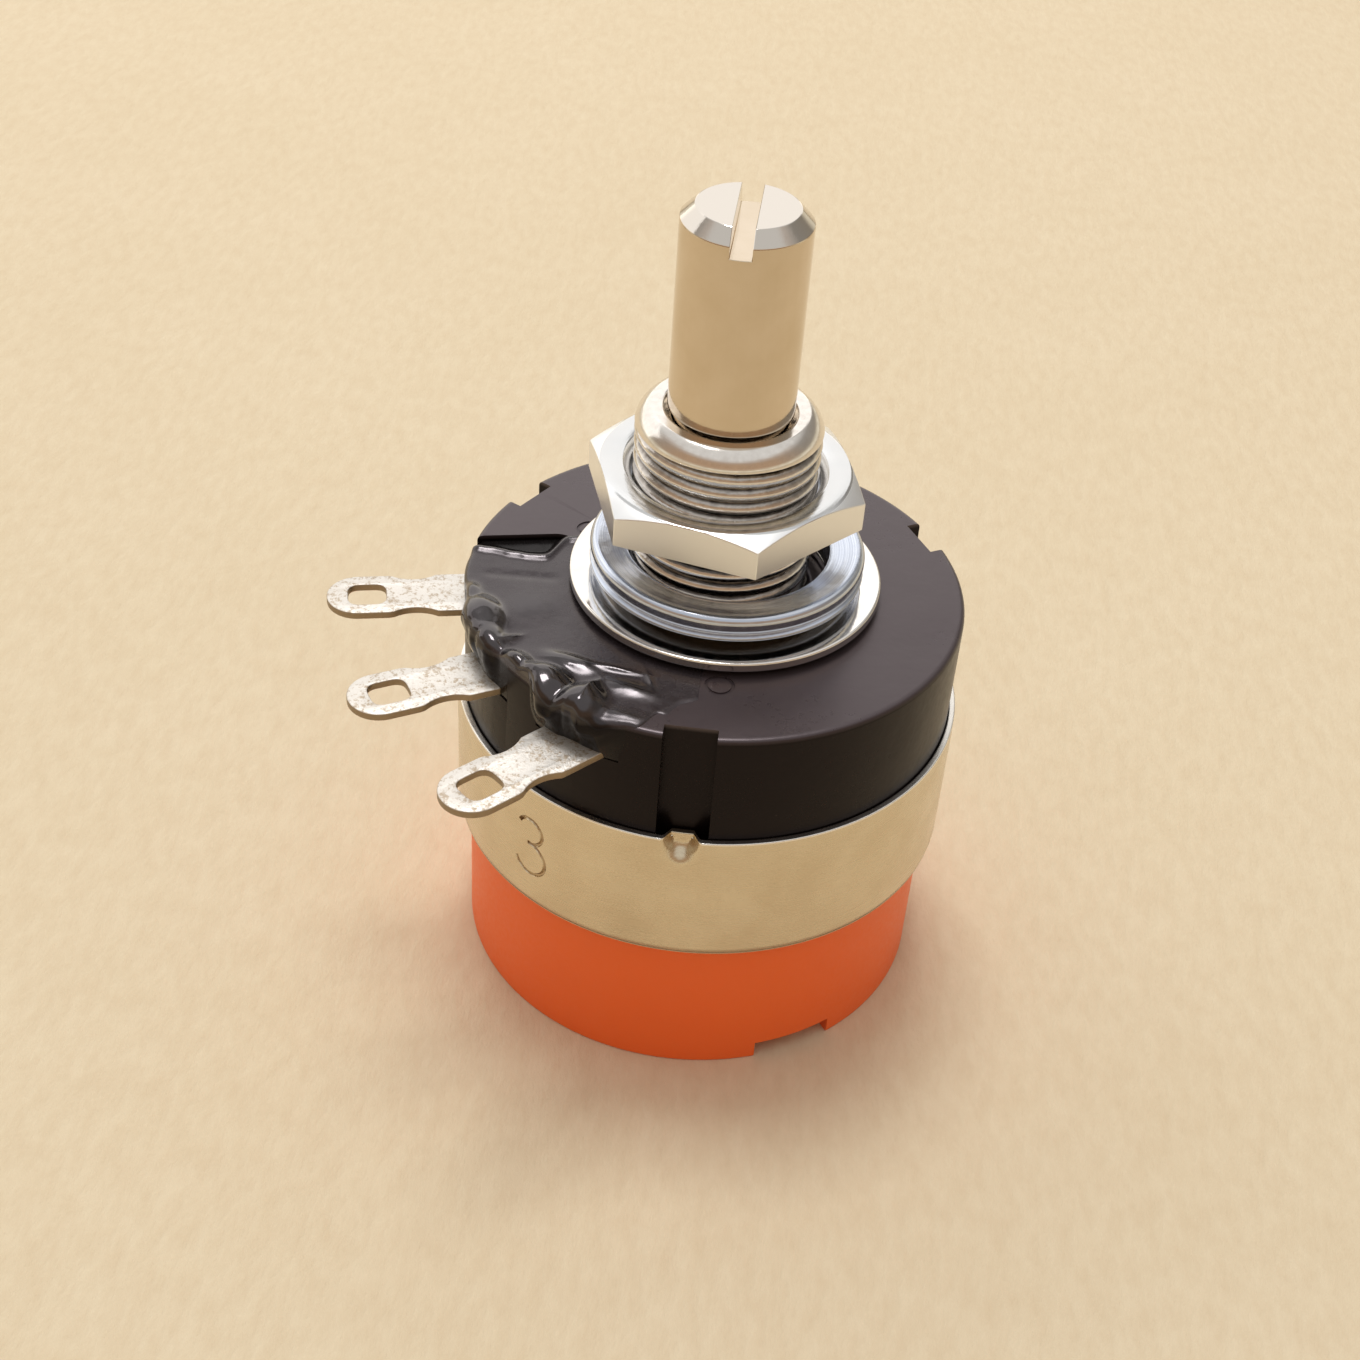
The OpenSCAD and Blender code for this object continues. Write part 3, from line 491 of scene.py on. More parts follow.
def thread_nickel():
    """The bush: bright crests, with wear, and brown-black colour down in the thread roots that is partly
    dirt and partly painted shade.
    """
    look = Look("thread_nickel", Metallic=1.0)
    wear = look.cloud(0.45 * MM, 4)
    uneven = look.math("MULTIPLY", look.math("SUBTRACT", wear, 0.5), 0.25 * MM)
    depth = look.math("ADD", look.radius(), uneven)
    crest = look.span(depth, THREAD_R - THREAD_DEPTH * 0.75, THREAD_R - THREAD_DEPTH * 0.1)
    below_lip = look.span(look.height(), bush_high.z - CROWN_DROP, bush_high.z - CROWN_DROP - 0.25 * MM)
    # Dark in the thread roots below the crown: partly dirt, partly painted shade.
    dirt_and_root_shade = look.math("MULTIPLY", look.math("SUBTRACT", 1.0, crest), below_lip)
    clean = look.blend(look.span(wear, 0.3, 0.7), (0.84, 0.81, 0.77), (0.74, 0.70, 0.66))
    look.drive("Base Color", look.blend(dirt_and_root_shade, clean, (0.10, 0.08, 0.065)))
    look.drive("Roughness", look.span(wear, 0.3, 0.75, 0.10, 0.24))
    look.bump((look.math("MULTIPLY", wear, below_lip), 0.02 * MM))
    return look.material


def zinc_nut():
    """Zinc on the nut, with faint cutting rings on its face, the face painted dimmer and the sides brighter
    for how each is lit.
    """
    look = Look("zinc_nut", Metallic=1.0)
    rings = look.lines(look.radius(), 0.09 * MM)
    stain = look.cloud(1.8 * MM, 4)
    on_face = look.span(look.height(), nut_high.z - 0.06 * MM, nut_high.z - 0.03 * MM)
    # The face gets a dimmer copy of the zinc and the sides a brighter one, for how each is lit: painted
    # light.
    face = look.blend(look.span(stain, 0.35, 0.75), (0.69, 0.70, 0.71), (0.65, 0.665, 0.68))
    look.drive("Base Color", look.blend(on_face, (0.89, 0.90, 0.91), face))
    polish = look.math("MULTIPLY", look.span(rings, 0.3, 0.7, 0.10, 0.16), on_face)
    look.drive("Roughness", look.math("MAXIMUM", polish, look.span(on_face, 0.0, 1.0, 0.30, 0.0)))
    look.bump((look.math("MULTIPLY", rings, on_face), 0.003 * MM))
    return look.material


def zinc_dish():
    """Blue-grey zinc on the dished washer, with fine rings, crystalline mottling and painted shade under the
    lip.
    """
    centre = (dish_low + dish_high) / 2
    look = Look("zinc_dish", Metallic=1.0)
    rings = look.lines(look.radius(centre), 0.09 * MM)
    mottle = look.cloud(0.55 * MM, 5)
    shade = look.math("MULTIPLY", look.span(rings, 0.35, 0.65), look.span(mottle, 0.3, 0.7, 0.5, 1.0))
    zinc = look.blend(shade, (0.52, 0.57, 0.68), (0.74, 0.79, 0.88))
    # Dark below the lip, where the underside lies in shade: painted shade.
    painted_shade_under_lip = look.span(look.height(), DISH_LIP, DISH_LIP - 0.06 * MM)
    look.drive("Base Color", look.blend(painted_shade_under_lip, zinc, (0.16, 0.15, 0.14)))
    look.drive("Roughness", look.span(mottle, 0.3, 0.7, 0.12, 0.24))
    look.bump((rings, 0.004 * MM), (mottle, 0.006 * MM))
    return look.material


def satin_washer():
    """Satin nickel on the flat washer, with a cloudy bloom and hair scratches."""
    look = Look("satin_washer", Metallic=1.0)
    bloom_and_sheen = look.cloud(1.4 * MM, 4)
    scratch = look.cloud(0.3 * MM, 4, stretch=(1, 0.08, 1))
    look.drive("Base Color", look.blend(look.span(bloom_and_sheen, 0.3, 0.7), (0.90, 0.87, 0.83), (0.81, 0.78, 0.74)))
    look.drive("Roughness", look.span(scratch, 0.3, 0.7, 0.05, 0.12))
    look.bump((scratch, 0.004 * MM))
    return look.material


def tinned_lug():
    """Hot-tinned brass lugs: pale matt tin with dark specks, worn edges and darker sheared sides."""
    look = Look("tinned_lug", Metallic=0.6)
    grain = look.cloud(0.22 * MM, 6, roughness=0.68)
    patch = look.cloud(0.9 * MM, 4)
    specks = look.span(look.math("ADD", grain, look.math("MULTIPLY", patch, 0.35)), 0.66, 0.80)
    edge = look.add("ShaderNodeNewGeometry")
    worn = look.span(edge.outputs["Pointiness"], 0.50, 0.56)
    dark = look.math("MAXIMUM", specks, look.math("MULTIPLY", worn, 0.35))
    tin = look.blend(patch, (0.82, 0.80, 0.77), (0.73, 0.71, 0.67))
    speckled = look.blend(dark, tin, (0.47, 0.39, 0.30))
    facing = look.add("ShaderNodeSeparateXYZ")
    look.join(look.add("ShaderNodeTexCoord").outputs["Normal"], facing.inputs["Vector"])
    sheared = look.span(look.math("ABSOLUTE", facing.outputs["Z"], 0.0), 0.7, 0.3)
    look.drive("Base Color", look.blend(sheared, speckled, (0.34, 0.26, 0.17)))
    look.drive("Roughness", look.span(grain, 0.3, 0.7, 0.32, 0.55))
    look.bump((grain, 0.03 * MM))
    return look.material


def band_tin():
    """Rolled tinned steel of the case band: fine rolling lines round it and faint cloudy stains."""
    look = Look("band_tin", Metallic=1.0)
    rolling = look.lines(look.height(), 0.06 * MM)
    stain = look.cloud(2.2 * MM, 5)
    tin = look.blend(look.span(stain, 0.3, 0.7), (0.72, 0.635, 0.485), (0.665, 0.57, 0.42))
    cut_edge = look.span(look.height(), band_high.z - 0.10 * MM, band_high.z - 0.06 * MM)
    sunk = look.span(look.radius(), BAND_R - 0.02 * MM, BAND_R - 0.06 * MM)
    low_down = look.span(look.height(), band_high.z - 1.6 * MM, band_high.z - 1.7 * MM)
    stamped = look.math("MULTIPLY", sunk, low_down)
    bright = look.blend(cut_edge, tin, (0.92, 0.89, 0.84))
    look.drive("Base Color", look.blend(stamped, bright, (0.46, 0.35, 0.23)))
    look.drive("Roughness", look.span(look.math("ADD", rolling, stain), 0.7, 1.3, 0.22, 0.32))
    look.bump((rolling, 0.002 * MM), (stain, 0.012 * MM))
    return look.material


def orange_plastic():
    """Smooth orange moulding with a slight depth of colour and a fine moulded skin."""
    look = Look("orange_plastic", Subsurface_Weight=0.12, Subsurface_Scale=0.6 * MM, Specular_IOR_Level=0.46)
    look.shader.inputs["Subsurface Radius"].default_value = (1.0, 0.35, 0.15)
    flow = look.cloud(5 * MM, 3)
    grain = look.cloud(0.25 * MM, 4)
    look.drive("Base Color", look.blend(flow, (0.98, 0.165, 0.026), (0.95, 0.15, 0.022)))
    look.drive("Roughness", look.span(grain, 0.3, 0.7, 0.36, 0.50))
    look.bump((grain, 0.006 * MM), (flow, 0.05 * MM))
    return look.material


def plain_inner(name, colour, other, metallic, roughness):
    """A finish for the pieces inside the case: mottled colour with a fine grain."""
    look = Look(name, Metallic=metallic)
    mottle = look.cloud(0.8 * MM, 4)
    look.drive("Base Color", look.blend(mottle, colour, other))
    look.drive("Roughness", look.span(mottle, 0.3, 0.7, roughness * 0.8, roughness * 1.2))
    look.bump((mottle, 0.01 * MM))
    return look.material


def bench_paper():
    """Pale buff paper under the part, with faint fibres."""
    look = Look("bench_paper", Roughness=0.95, Specular_IOR_Level=0.15)
    fibre = look.cloud(0.8 * MM, 6, stretch=(1, 0.4, 1), roughness=0.66)
    drift = look.cloud(14 * MM, 4)
    near = look.blend(drift, (0.725, 0.62, 0.44), (0.765, 0.665, 0.49))
    look.drive("Base Color", look.blend(look.span(fibre, 0.35, 0.75, 0.0, 0.5), near, (0.64, 0.51, 0.34)))
    look.bump((fibre, 0.12 * MM))
    return look.material


def new_object(name, mesh):
    """A scene object from a bmesh, at the origin."""
    data = bpy.data.meshes.new(name)
    mesh.to_mesh(data)
    mesh.free()
    piece = bpy.data.objects.new(name, data)
    scene.collection.objects.link(piece)
    return piece


def made_mesh(piece):
    """The mesh that a piece's modifiers or curves make."""
    bpy.context.view_layer.update()
    graph = bpy.context.evaluated_depsgraph_get()
    return bpy.data.meshes.new_from_object(piece.evaluated_get(graph))


def bake(piece):
    """Turns what the modifiers make into the piece's own mesh."""
    made = made_mesh(piece)
    old = piece.data
    piece.modifiers.clear()
    piece.data = made
    bpy.data.meshes.remove(old)


def rounded(outline, radius, first=0, last=None):
    """The corners of a closed outline from the first up to the last, each run through a small curve with a
    guard point on either side."""
    smooth = []
    for k in range(len(outline))[first:last]:
        corner = Vector(outline[k])
        before = Vector(outline[k - 1]) - corner
        after = Vector(outline[(k + 1) % len(outline)]) - corner
        reach = min(radius, before.length * CORNER_SHARE, after.length * CORNER_SHARE)
        start = corner + before.normalized() * reach
        end = corner + after.normalized() * reach
        smooth.append(corner + before.normalized() * reach * GUARD_REACH)
        for step in range(CORNER_STEPS + 1):
            t = step / CORNER_STEPS
            smooth.append((start * (1 - t) + corner * t) * (1 - t) + (corner * (1 - t) + end * t) * t)
        smooth.append(corner + after.normalized() * reach * GUARD_REACH)
    return smooth


def arc(centre, radius, start, end, steps):
    """Points of an arc in a plane, angles in degrees."""
    turns = [math.radians(start + (end - start) * k / steps) for k in range(steps + 1)]
    return [(centre[0] + radius * math.cos(t), centre[1] + radius * math.sin(t)) for t in turns]


def box_outline(x0, x1, y0, y1):
    """Corners of a rectangle."""
    return [(x0, y0), (x1, y0), (x1, y1), (x0, y1)]


def around(outline, az, centre=(0, 0)):
    """Points of a (radius, height) outline, stood up at a heading from a centre."""
    return [(centre[0] + r * math.cos(az), centre[1] + r * math.sin(az), z) for r, z in outline]


def skin(name, rings, looped=True, shut=True):
    """A piece with faces from ring to ring of points. A run that isn't looped gets a face at either end.
    Rings that aren't shut start and end on the axis. Points that meet are merged."""
    mesh = bmesh.new()
    rings = [[mesh.verts.new(point) for point in ring] for ring in rings]
    following = rings[1:] + rings[:1] if looped else rings[1:]
    for here, there in zip(rings, following):
        for i in range(len(here) if shut else len(here) - 1):
            j = (i + 1) % len(here)
            mesh.faces.new((here[i], there[i], there[j], here[j]))
    if not looped:
        mesh.faces.new(rings[0])
        mesh.faces.new(rings[-1][::-1])
    bmesh.ops.remove_doubles(mesh, verts=mesh.verts, dist=POINT_MERGE)
    bmesh.ops.recalc_face_normals(mesh, faces=mesh.faces)
    return new_object(name, mesh)


def lathe(name, outline, centre=(0, 0), closed=True):
    """A turned shape from its (radius, height) outline; an open one starts and ends on the axis."""
    rings = [around(outline, TURN * k / LATHE_STEPS, centre) for k in range(LATHE_STEPS)]
    return skin(name, rings, shut=closed)


def prism(name, outline, low, high, place):
    """A straight-sided block over an (x, y) outline, set in place by a matrix."""
    mesh = bmesh.new()
    bottom = [mesh.verts.new((x, y, low)) for x, y in outline]
    top = [mesh.verts.new((x, y, high)) for x, y in outline]
    mesh.faces.new(bottom[::-1])
    mesh.faces.new(top)
    for k in range(len(outline)):
        n = (k + 1) % len(outline)
        mesh.faces.new((bottom[k], bottom[n], top[n], top[k]))
    mesh.transform(place)
    bmesh.ops.recalc_face_normals(mesh, faces=mesh.faces)
    return new_object(name, mesh)


def cut(piece, cutters):
    """Cuts the cutters from the piece and clears them away."""
    for cutter in cutters:
        change = piece.modifiers.new("cut", "BOOLEAN")
        change.object = cutter
        change.operation = "DIFFERENCE"
        change.solver = "EXACT"
        bake(piece)
        bpy.data.objects.remove(cutter)


def soften(piece, width, angle=32):
    """Breaks the edges sharper than an angle by a hair, so that they catch the light."""
    bevel = piece.modifiers.new("soften", "BEVEL")
    bevel.width = width
    bevel.segments = 1
    bevel.limit_method = "ANGLE"
    bevel.angle_limit = math.radians(angle)
    bake(piece)


def dress(piece, look, slot, *replaced, sharp=19):
    """Shading and material of a piece, and the solids that it stands for."""
    piece.data.shade_smooth()
    piece.data.set_sharp_from_angle(angle=math.radians(sharp))
    piece.data.materials.clear()
    piece.data.materials.append(look)
    if replaced:
        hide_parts(*replaced)


def finish(piece, look, body, slot, *replaced, sharp=19):
    """A dressed piece that moves with a body."""
    dress(piece, look, slot, *replaced, sharp=sharp)
    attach(piece, body)


def turned(az, offset=0.0):
    """Matrix that sets x along a heading and moves sideways from the axis."""
    return Matrix.Rotation(az, 4, "Z") @ Matrix.Translation((0, offset, 0))


def terminal_place(i):
    """Frame of terminal i (-1, 0, 1): x runs outward along it."""
    return turned(TERM_AZ + i * TERM_FAN, TERM_OFFSET + i * TERM_PITCH)


def make_shaft():
    tip = shaft_high.z
    shoulder = bush_high.z + SHOULDER_GAP
    outline = [(0, shaft_low.z), (TANG_R, shaft_low.z), (TANG_R, NECK_END), (NECK_R, NECK_END),
               (NECK_R, JOURNAL_END), (JOURNAL_R, JOURNAL_END), (JOURNAL_R, shoulder), (SHAFT_R, shoulder),
               (SHAFT_R, tip - SHAFT_CHAMFER), (SHAFT_R - SHAFT_CHAMFER, tip), (0, tip)]
    shaft = lathe("shaft_turned", outline, closed=False)
    slot = box_outline(-2 * SHAFT_R, 2 * SHAFT_R, -SLOT_W / 2, SLOT_W / 2)
    cut(shaft, [prism("slot_cut", slot, tip - SLOT_DEPTH, tip + SLOT_DEPTH, turned(SLOT_AZ))])
    soften(shaft, SHAFT_EDGE)
    finish(shaft, shaft_nickel(), "spindle", "nickel", "shaft")


def ridge_profile(coil, values):
    """Section of a screw thread: a kite with rounded corners, half of it sunk in the core."""
    ridge = coil.add("GeometryNodeCurvePrimitiveQuadrilateral", mode="KITE")
    coil.join(coil.math("MULTIPLY", values["Section"], 2.0), ridge.inputs["Width"])
    coil.join(coil.math("MULTIPLY", values["Pitch"], 0.5), ridge.inputs["Bottom Height"])
    coil.join(values["Pitch"], ridge.inputs["Top Height"])
    fillet = coil.add("GeometryNodeFilletCurve")
    fillet.inputs["Radius"].default_value = THREAD_FILLET
    coil.join(ridge.outputs["Curve"], fillet.inputs["Curve"])
    return fillet.outputs["Curve"]


def wire_profile(coil, values):
    """Section of a round wire."""
    wire = coil.add("GeometryNodeCurvePrimitiveCircle")
    wire.inputs["Resolution"].default_value = WIRE_SIDES
    coil.join(values["Section"], wire.inputs["Radius"])
    return wire.outputs["Curve"]


def helix_tree(name, add_profile):
    """Node tree that sweeps a profile along a helix about Z, and the identifiers of its inputs by name."""
    tree = bpy.data.node_groups.new(name, "GeometryNodeTree")
    ids = {}
    for label, kind in HELIX_INPUTS.items():
        socket = tree.interface.new_socket(label, in_out="INPUT", socket_type="NodeSocket" + kind)
        ids[label] = socket.identifier
    tree.interface.new_socket("Swept", in_out="OUTPUT", socket_type="NodeSocketGeometry")
    coil = Nodes(tree)
    values = coil.add("NodeGroupInput").outputs
    helix = coil.add("GeometryNodeCurveSpiral")
    coil.join(values["Steps per turn"], helix.inputs["Resolution"])
    coil.join(values["Turns"], helix.inputs["Rotations"])
    coil.join(values["Radius"], helix.inputs["Start Radius"])
    coil.join(values["Radius"], helix.inputs["End Radius"])
    coil.join(coil.math("MULTIPLY", values["Pitch"], values["Turns"]), helix.inputs["Height"])
    upright = coil.add("GeometryNodeSetCurveNormal", mode="Z_UP")
    coil.join(helix.outputs["Curve"], upright.inputs["Curve"])
    sweep = coil.add("GeometryNodeCurveToMesh")
    sweep.inputs["Fill Caps"].default_value = True
    coil.join(upright.outputs["Curve"], sweep.inputs["Curve"])
    coil.join(add_profile(coil, values), sweep.inputs["Profile Curve"])
    start = coil.add("ShaderNodeCombineXYZ")
    coil.join(values["Start height"], start.inputs["Z"])
    lift = coil.add("GeometryNodeTransform")
    coil.join(sweep.outputs["Mesh"], lift.inputs["Geometry"])
    coil.join(start.outputs["Vector"], lift.inputs["Translation"])
    real = coil.add("GeometryNodeRealizeInstances")
    coil.join(lift.outputs["Geometry"], real.inputs["Geometry"])
    paint = coil.add("GeometryNodeSetMaterial")
    coil.join(real.outputs["Geometry"], paint.inputs["Geometry"])
    coil.join(values["Finish"], paint.inputs["Material"])
    coil.join(paint.outputs["Geometry"], coil.add("NodeGroupOutput").inputs["Swept"])
    return tree, ids


def wind(name, add_profile, inputs):
    """A piece swept along a helix, from the node tree's inputs by name."""
    tree, ids = helix_tree(name + "_nodes", add_profile)
    piece = bpy.data.objects.new(name, bpy.data.meshes.new(name))
    scene.collection.objects.link(piece)
    winding = piece.modifiers.new("winding", "NODES")
    winding.node_group = tree
    for label, value in inputs.items():
        winding[ids[label]] = value
    bake(piece)
    return piece


def crown_curve(shoulder):
    """Rounded end of the bush as (radius, height), from its shoulder up to the mouth."""
    curve = []
    for k in range(CROWN_STEPS + 1):
        turn = math.radians(90 * k / CROWN_STEPS)
        out = CROWN_W * math.cos(turn) ** CROWN_FULLNESS
        up = CROWN_DROP * math.sin(turn) ** CROWN_FULLNESS
        curve.append((THREAD_R - CROWN_INSET - CROWN_W + out, shoulder + up))
    return curve


def make_bush():
    top = bush_high.z
    root = THREAD_R - THREAD_DEPTH
    shoulder = top - CROWN_DROP
    flange_top = -WALL_T
    thread_from = shoulder - THREAD_GAP - THREAD_TURNS * THREAD_PITCH
    core = [(BUSH_BORE_R, bush_low.z), (bush_high.x, bush_low.z), (bush_high.x, flange_top),
            (THREAD_R, flange_top), (THREAD_R, thread_from - THREAD_RUNOUT), (root, thread_from),
            (root, shoulder - CROWN_UNDERCUT)]
    mouth = [(BUSH_MOUTH_R, top), (BUSH_BORE_R, top - (BUSH_MOUTH_R - BUSH_BORE_R))]
    look = thread_nickel()
    bush = lathe("bush_turned", rounded(core + crown_curve(shoulder) + mouth, BUSH_EDGE))
    finish(bush, look, "case", "nickel", "threaded_bush")
    thread = wind("bush_thread", ridge_profile, {
        "Pitch": THREAD_PITCH, "Turns": THREAD_TURNS, "Radius": root, "Section": THREAD_DEPTH,
        "Start height": thread_from, "Steps per turn": THREAD_STEPS, "Finish": look})
    finish(thread, look, "case", "nickel", sharp=45)


def nut_outline(from_corner):
    """Section of the nut at an angle from a corner, with the corners chamfered at the top."""
    low, high = nut_low.z, nut_high.z
    flat_r = NUT_FLATS / 2
    corner_r = flat_r / math.cos(math.radians(30))
    face_r = flat_r - NUT_FACE_INSET
    slope = NUT_CORNER_DROP / (corner_r - face_r)
    side_r = flat_r / math.cos(from_corner - math.radians(30))
    edge = high - slope * (side_r - face_r)
    return [(NUT_BORE_R + NUT_SINK / 2, low), (side_r, low), (side_r, edge), (face_r, high),
            (NUT_BORE_R + NUT_SINK, high), (NUT_BORE_R, high - NUT_SINK), (NUT_BORE_R, low + NUT_SINK / 2)]


def make_nut():
    steps = 6 * NUT_SIDE_STEPS
    rings = []
    for k in range(steps):
        from_corner = math.radians(60 * (k % NUT_SIDE_STEPS) / NUT_SIDE_STEPS)
        rings.append(around(nut_outline(from_corner), NUT_AZ + TURN * k / steps))
    nut = skin("nut_hex", rings)
    soften(nut, NUT_EDGE, angle=14)
    finish(nut, zinc_nut(), "nut", "zinc", "hex_nut", sharp=25)


def make_flat_washer():
    r = (flat_high.x - flat_low.x) / 2
    outline = box_outline(WASHER_BORE_R, r, flat_low.z, flat_high.z)
    washer = lathe("washer_flat", rounded(outline, FLAT_EDGE), (flat_low + flat_high) / 2)
    finish(washer, satin_washer(), "washer", "nickel", "flat_washer")


def dish_outline(r):
    """Section of the dished washer: a cone out to a thin lip, a bead over it and a hollowed top."""
    low, high = dish_low.z, dish_high.z
    bead_at = r - DISH_BEAD_R
    under = [(WASHER_BORE_R, high - DISH_HOLLOW), (WASHER_BORE_R, low), (WASHER_BORE_R + DISH_FOOT_W, low),
             (r - DISH_LIP_W, DISH_LIP), (r, DISH_LIP), (r, DISH_LIP + DISH_LIP_T),
             (r - DISH_GROOVE, DISH_LIP + DISH_GROOVE_H)]
    outline = rounded(under, DISH_EDGE, last=-1)
    outline += arc((bead_at, DISH_LIP + DISH_BEAD_H), DISH_BEAD_R, -62, 0, 12)
    outline += arc((bead_at, high - DISH_BEAD_R), DISH_BEAD_R, 0, 100, 20)
    inner = bead_at - DISH_CREST_W
    for t in (0.15, 0.35, 0.6, 0.8):
        sunk = 1.2 * DISH_HOLLOW * math.sin(0.72 * math.pi * t)
        outline.append((inner - (inner - WASHER_BORE_R) * t, high - sunk))
    return outline


def make_dished_washer():
    r = (dish_high.x - dish_low.x) / 2
    washer = lathe("washer_dished", dish_outline(r), (dish_low + dish_high) / 2)
    finish(washer, zinc_dish(), "dish", "zinc", "dished_washer", sharp=40)


def channel_outline():
    """Plan of a terminal channel, round at its inner corners and open at the rim."""
    far = MOULD_R + CUT_PAST
    half = CHANNEL_W / 2
    corner_x = CHANNEL_START + CHANNEL_CORNER
    corner_y = half - CHANNEL_CORNER
    inner = arc((corner_x, -corner_y), CHANNEL_CORNER, 270, 180, 8)
    inner += arc((corner_x, corner_y), CHANNEL_CORNER, 180, 90, 8)
    return [(far, -half)] + inner + [(far, half)]


def make_moulding():
    low, boss = mould_low.z, mould_high.z
    outline = [(MOULD_BORE_R, boss), (BOSS_R, boss), (BOSS_R, 0), (MOULD_R, 0), (MOULD_R, low),
               (CAVITY_R, low), (CAVITY_R, -WALL_T), (MOULD_BORE_R, -WALL_T)]
    moulding = lathe("moulding_black", rounded(outline, MOULD_BEVEL))
    groove = box_outline(MOULD_R - GROOVE_DEPTH, MOULD_R + CUT_PAST, -GROOVE_W / 2, GROOVE_W / 2)
    cuts = [prism("groove_cut", groove, low - CUT_PAST, CUT_PAST, turned(az)) for az in GROOVE_AZ]
    for i in (-1, 0, 1):
        cuts.append(prism("channel_cut", channel_outline(), lug_low.z, CUT_PAST, terminal_place(i)))
    ring = box_outline(EJECTOR_IN, EJECTOR_OUT, -EJECTOR_DEPTH, EJECTOR_TOP)
    cuts += [lathe("ejector_cut", ring, centre) for centre in EJECTOR_AT]
    cut(moulding, cuts)
    soften(moulding, MOULD_EDGE, angle=40)
    finish(moulding, black_moulding(), "case", "black_phenolic", "front_moulding")


def over(x, y, lump):
    """Where a place falls across a lump, in shares of its half length and half width."""
    heading = math.radians(lump[4])
    along = (x - lump[0]) * math.cos(heading) + (y - lump[1]) * math.sin(heading)
    aside = (y - lump[1]) * math.cos(heading) - (x - lump[0]) * math.sin(heading)
    return along / lump[2], aside / lump[3]


def ease(value, low, high):
    """A soft step from 0 to 1 between two values."""
    t = max(0.0, min(1.0, (value - low) / (high - low)))
    return t * t * (3 - 2 * t)


def along_terminal(i, spot):
    """A place on the face in the frame of terminal i, in mm."""
    return terminal_place(i).inverted() @ (spot * MM) / MM


def resin_film(spot):
    """Height of the thin film on the face, which runs out past the last channel."""
    past = along_terminal(1, spot).y - HALF_CHANNEL - 0.3 * noise.noise(spot / 1.2)
    return RESIN_FILM + 0.03 * noise.noise(spot / 2.2) - 0.4 * ease(past, 0.25, 1.6)


def resin_heaps(spot):
    """Heights of the lumps, which are domed, and of the folds, which come to a crest."""
    heights = []
    for lump in RESIN_LUMPS:
        along, aside = over(spot.x, spot.y, lump)
        heights.append(lump[5] - (lump[5] + LUMP_FOOT) * (along ** 2 + aside ** 2))
    for fold in RESIN_FOLDS:
        along, aside = over(spot.x, spot.y, fold)
        heights.append(fold[5] - (fold[5] + LUMP_FOOT) * (along ** 2 + abs(aside)))
    return heights


def run_together(heights):
    """The highest of the heights, with soft joins between them."""
    top = max(heights)
    return top + RESIN_JOIN * math.log(sum(math.exp((h - top) / RESIN_JOIN) for h in heights))


def into_trough(spot):
    """How far a place lies inside the open trough beside the first terminal."""
    first = along_terminal(-1, spot)
    edge = TROUGH_W - HALF_CHANNEL - 0.95 * ease(first.x, 8.5, 12.0) + 0.06 * noise.noise(spot / 0.6)
    edge -= 1.5 * (1 - ease(first.x, 6.9, 8.3))
    return edge - first.y


def resin_top(spot):
    """Height of the resin over a place on the face: film, lumps and folds, a scar and an open trough."""
    top = run_together([resin_film(spot)] + resin_heaps(spot))
    top += 0.05 * noise.noise(spot / 0.9) * ease(top, 0.15, 0.5)
    scar = ease(-spot.x, 7.4, 8.2) * (1 - ease(-spot.x, 11.0, 11.8))
    scar *= math.exp(-((spot.y - SCAR_Y) / SCAR_W) ** 2)
    top -= SCAR_DEPTH * scar
    into = into_trough(spot)
    bead = TROUGH_BEAD * math.exp(-((into + 0.20) / 0.25) ** 2)
    return top + bead + (TROUGH_FLOOR - top) * ease(into, -0.1, 0.85)


def resin_drip(az):
    """How far the resin hangs out over the rim at a heading."""
    reach = 0.0
    for middle, half, most in RESIN_DRIPS:
        reach = max(reach, most * (1 - ease(abs(az - middle), 0.2 * half, half)))
    return reach * (1 + 0.25 * noise.noise(Vector((az / 3.0, 0, 0))))


def resin_section(az):
    """Outline of the resin at a heading as (distance out, height): top, shoulder, wall and bottom."""
    across = Vector((math.cos(math.radians(az)), math.sin(math.radians(az)), 0))
    drip = resin_drip(az)
    rim = RESIN_OUT - RESIN_STEP_IN * ease(az, 256, 259)
    wall = rim + drip
    shoulder = RESIN_SHOULDER + 0.5 * drip
    section = []
    for k in range(RESIN_ROWS + 1):
        out = RESIN_IN + (wall - shoulder - RESIN_IN) * k / RESIN_ROWS
        section.append((out, resin_top(across * out)))
    edge = section[-1][1]
    drop = RESIN_SHOULDER + 0.8 * drip
    for k in range(1, SHOULDER_ROWS + 1):
        turn = math.radians(90 * k / SHOULDER_ROWS)
        section.append((wall - shoulder * (1 - math.sin(turn)), edge - drop * (1 - math.cos(turn))))
    start = edge - drop
    for k in range(1, RESIN_WALL_ROWS + 1):
        down = k / RESIN_WALL_ROWS
        wave = 0.12 * drip * math.sin(TURN * (az / 9 + down))
        hang = (drip + wave) * math.cos(math.pi / 2 * down) ** 1.5
        section.append((rim + hang, start + (RESIN_FLOOR - start) * down))
    for k in range(1, RESIN_FLOOR_ROWS + 1):
        section.append((rim + (RESIN_IN - rim) * k / RESIN_FLOOR_ROWS, RESIN_FLOOR))
    return section


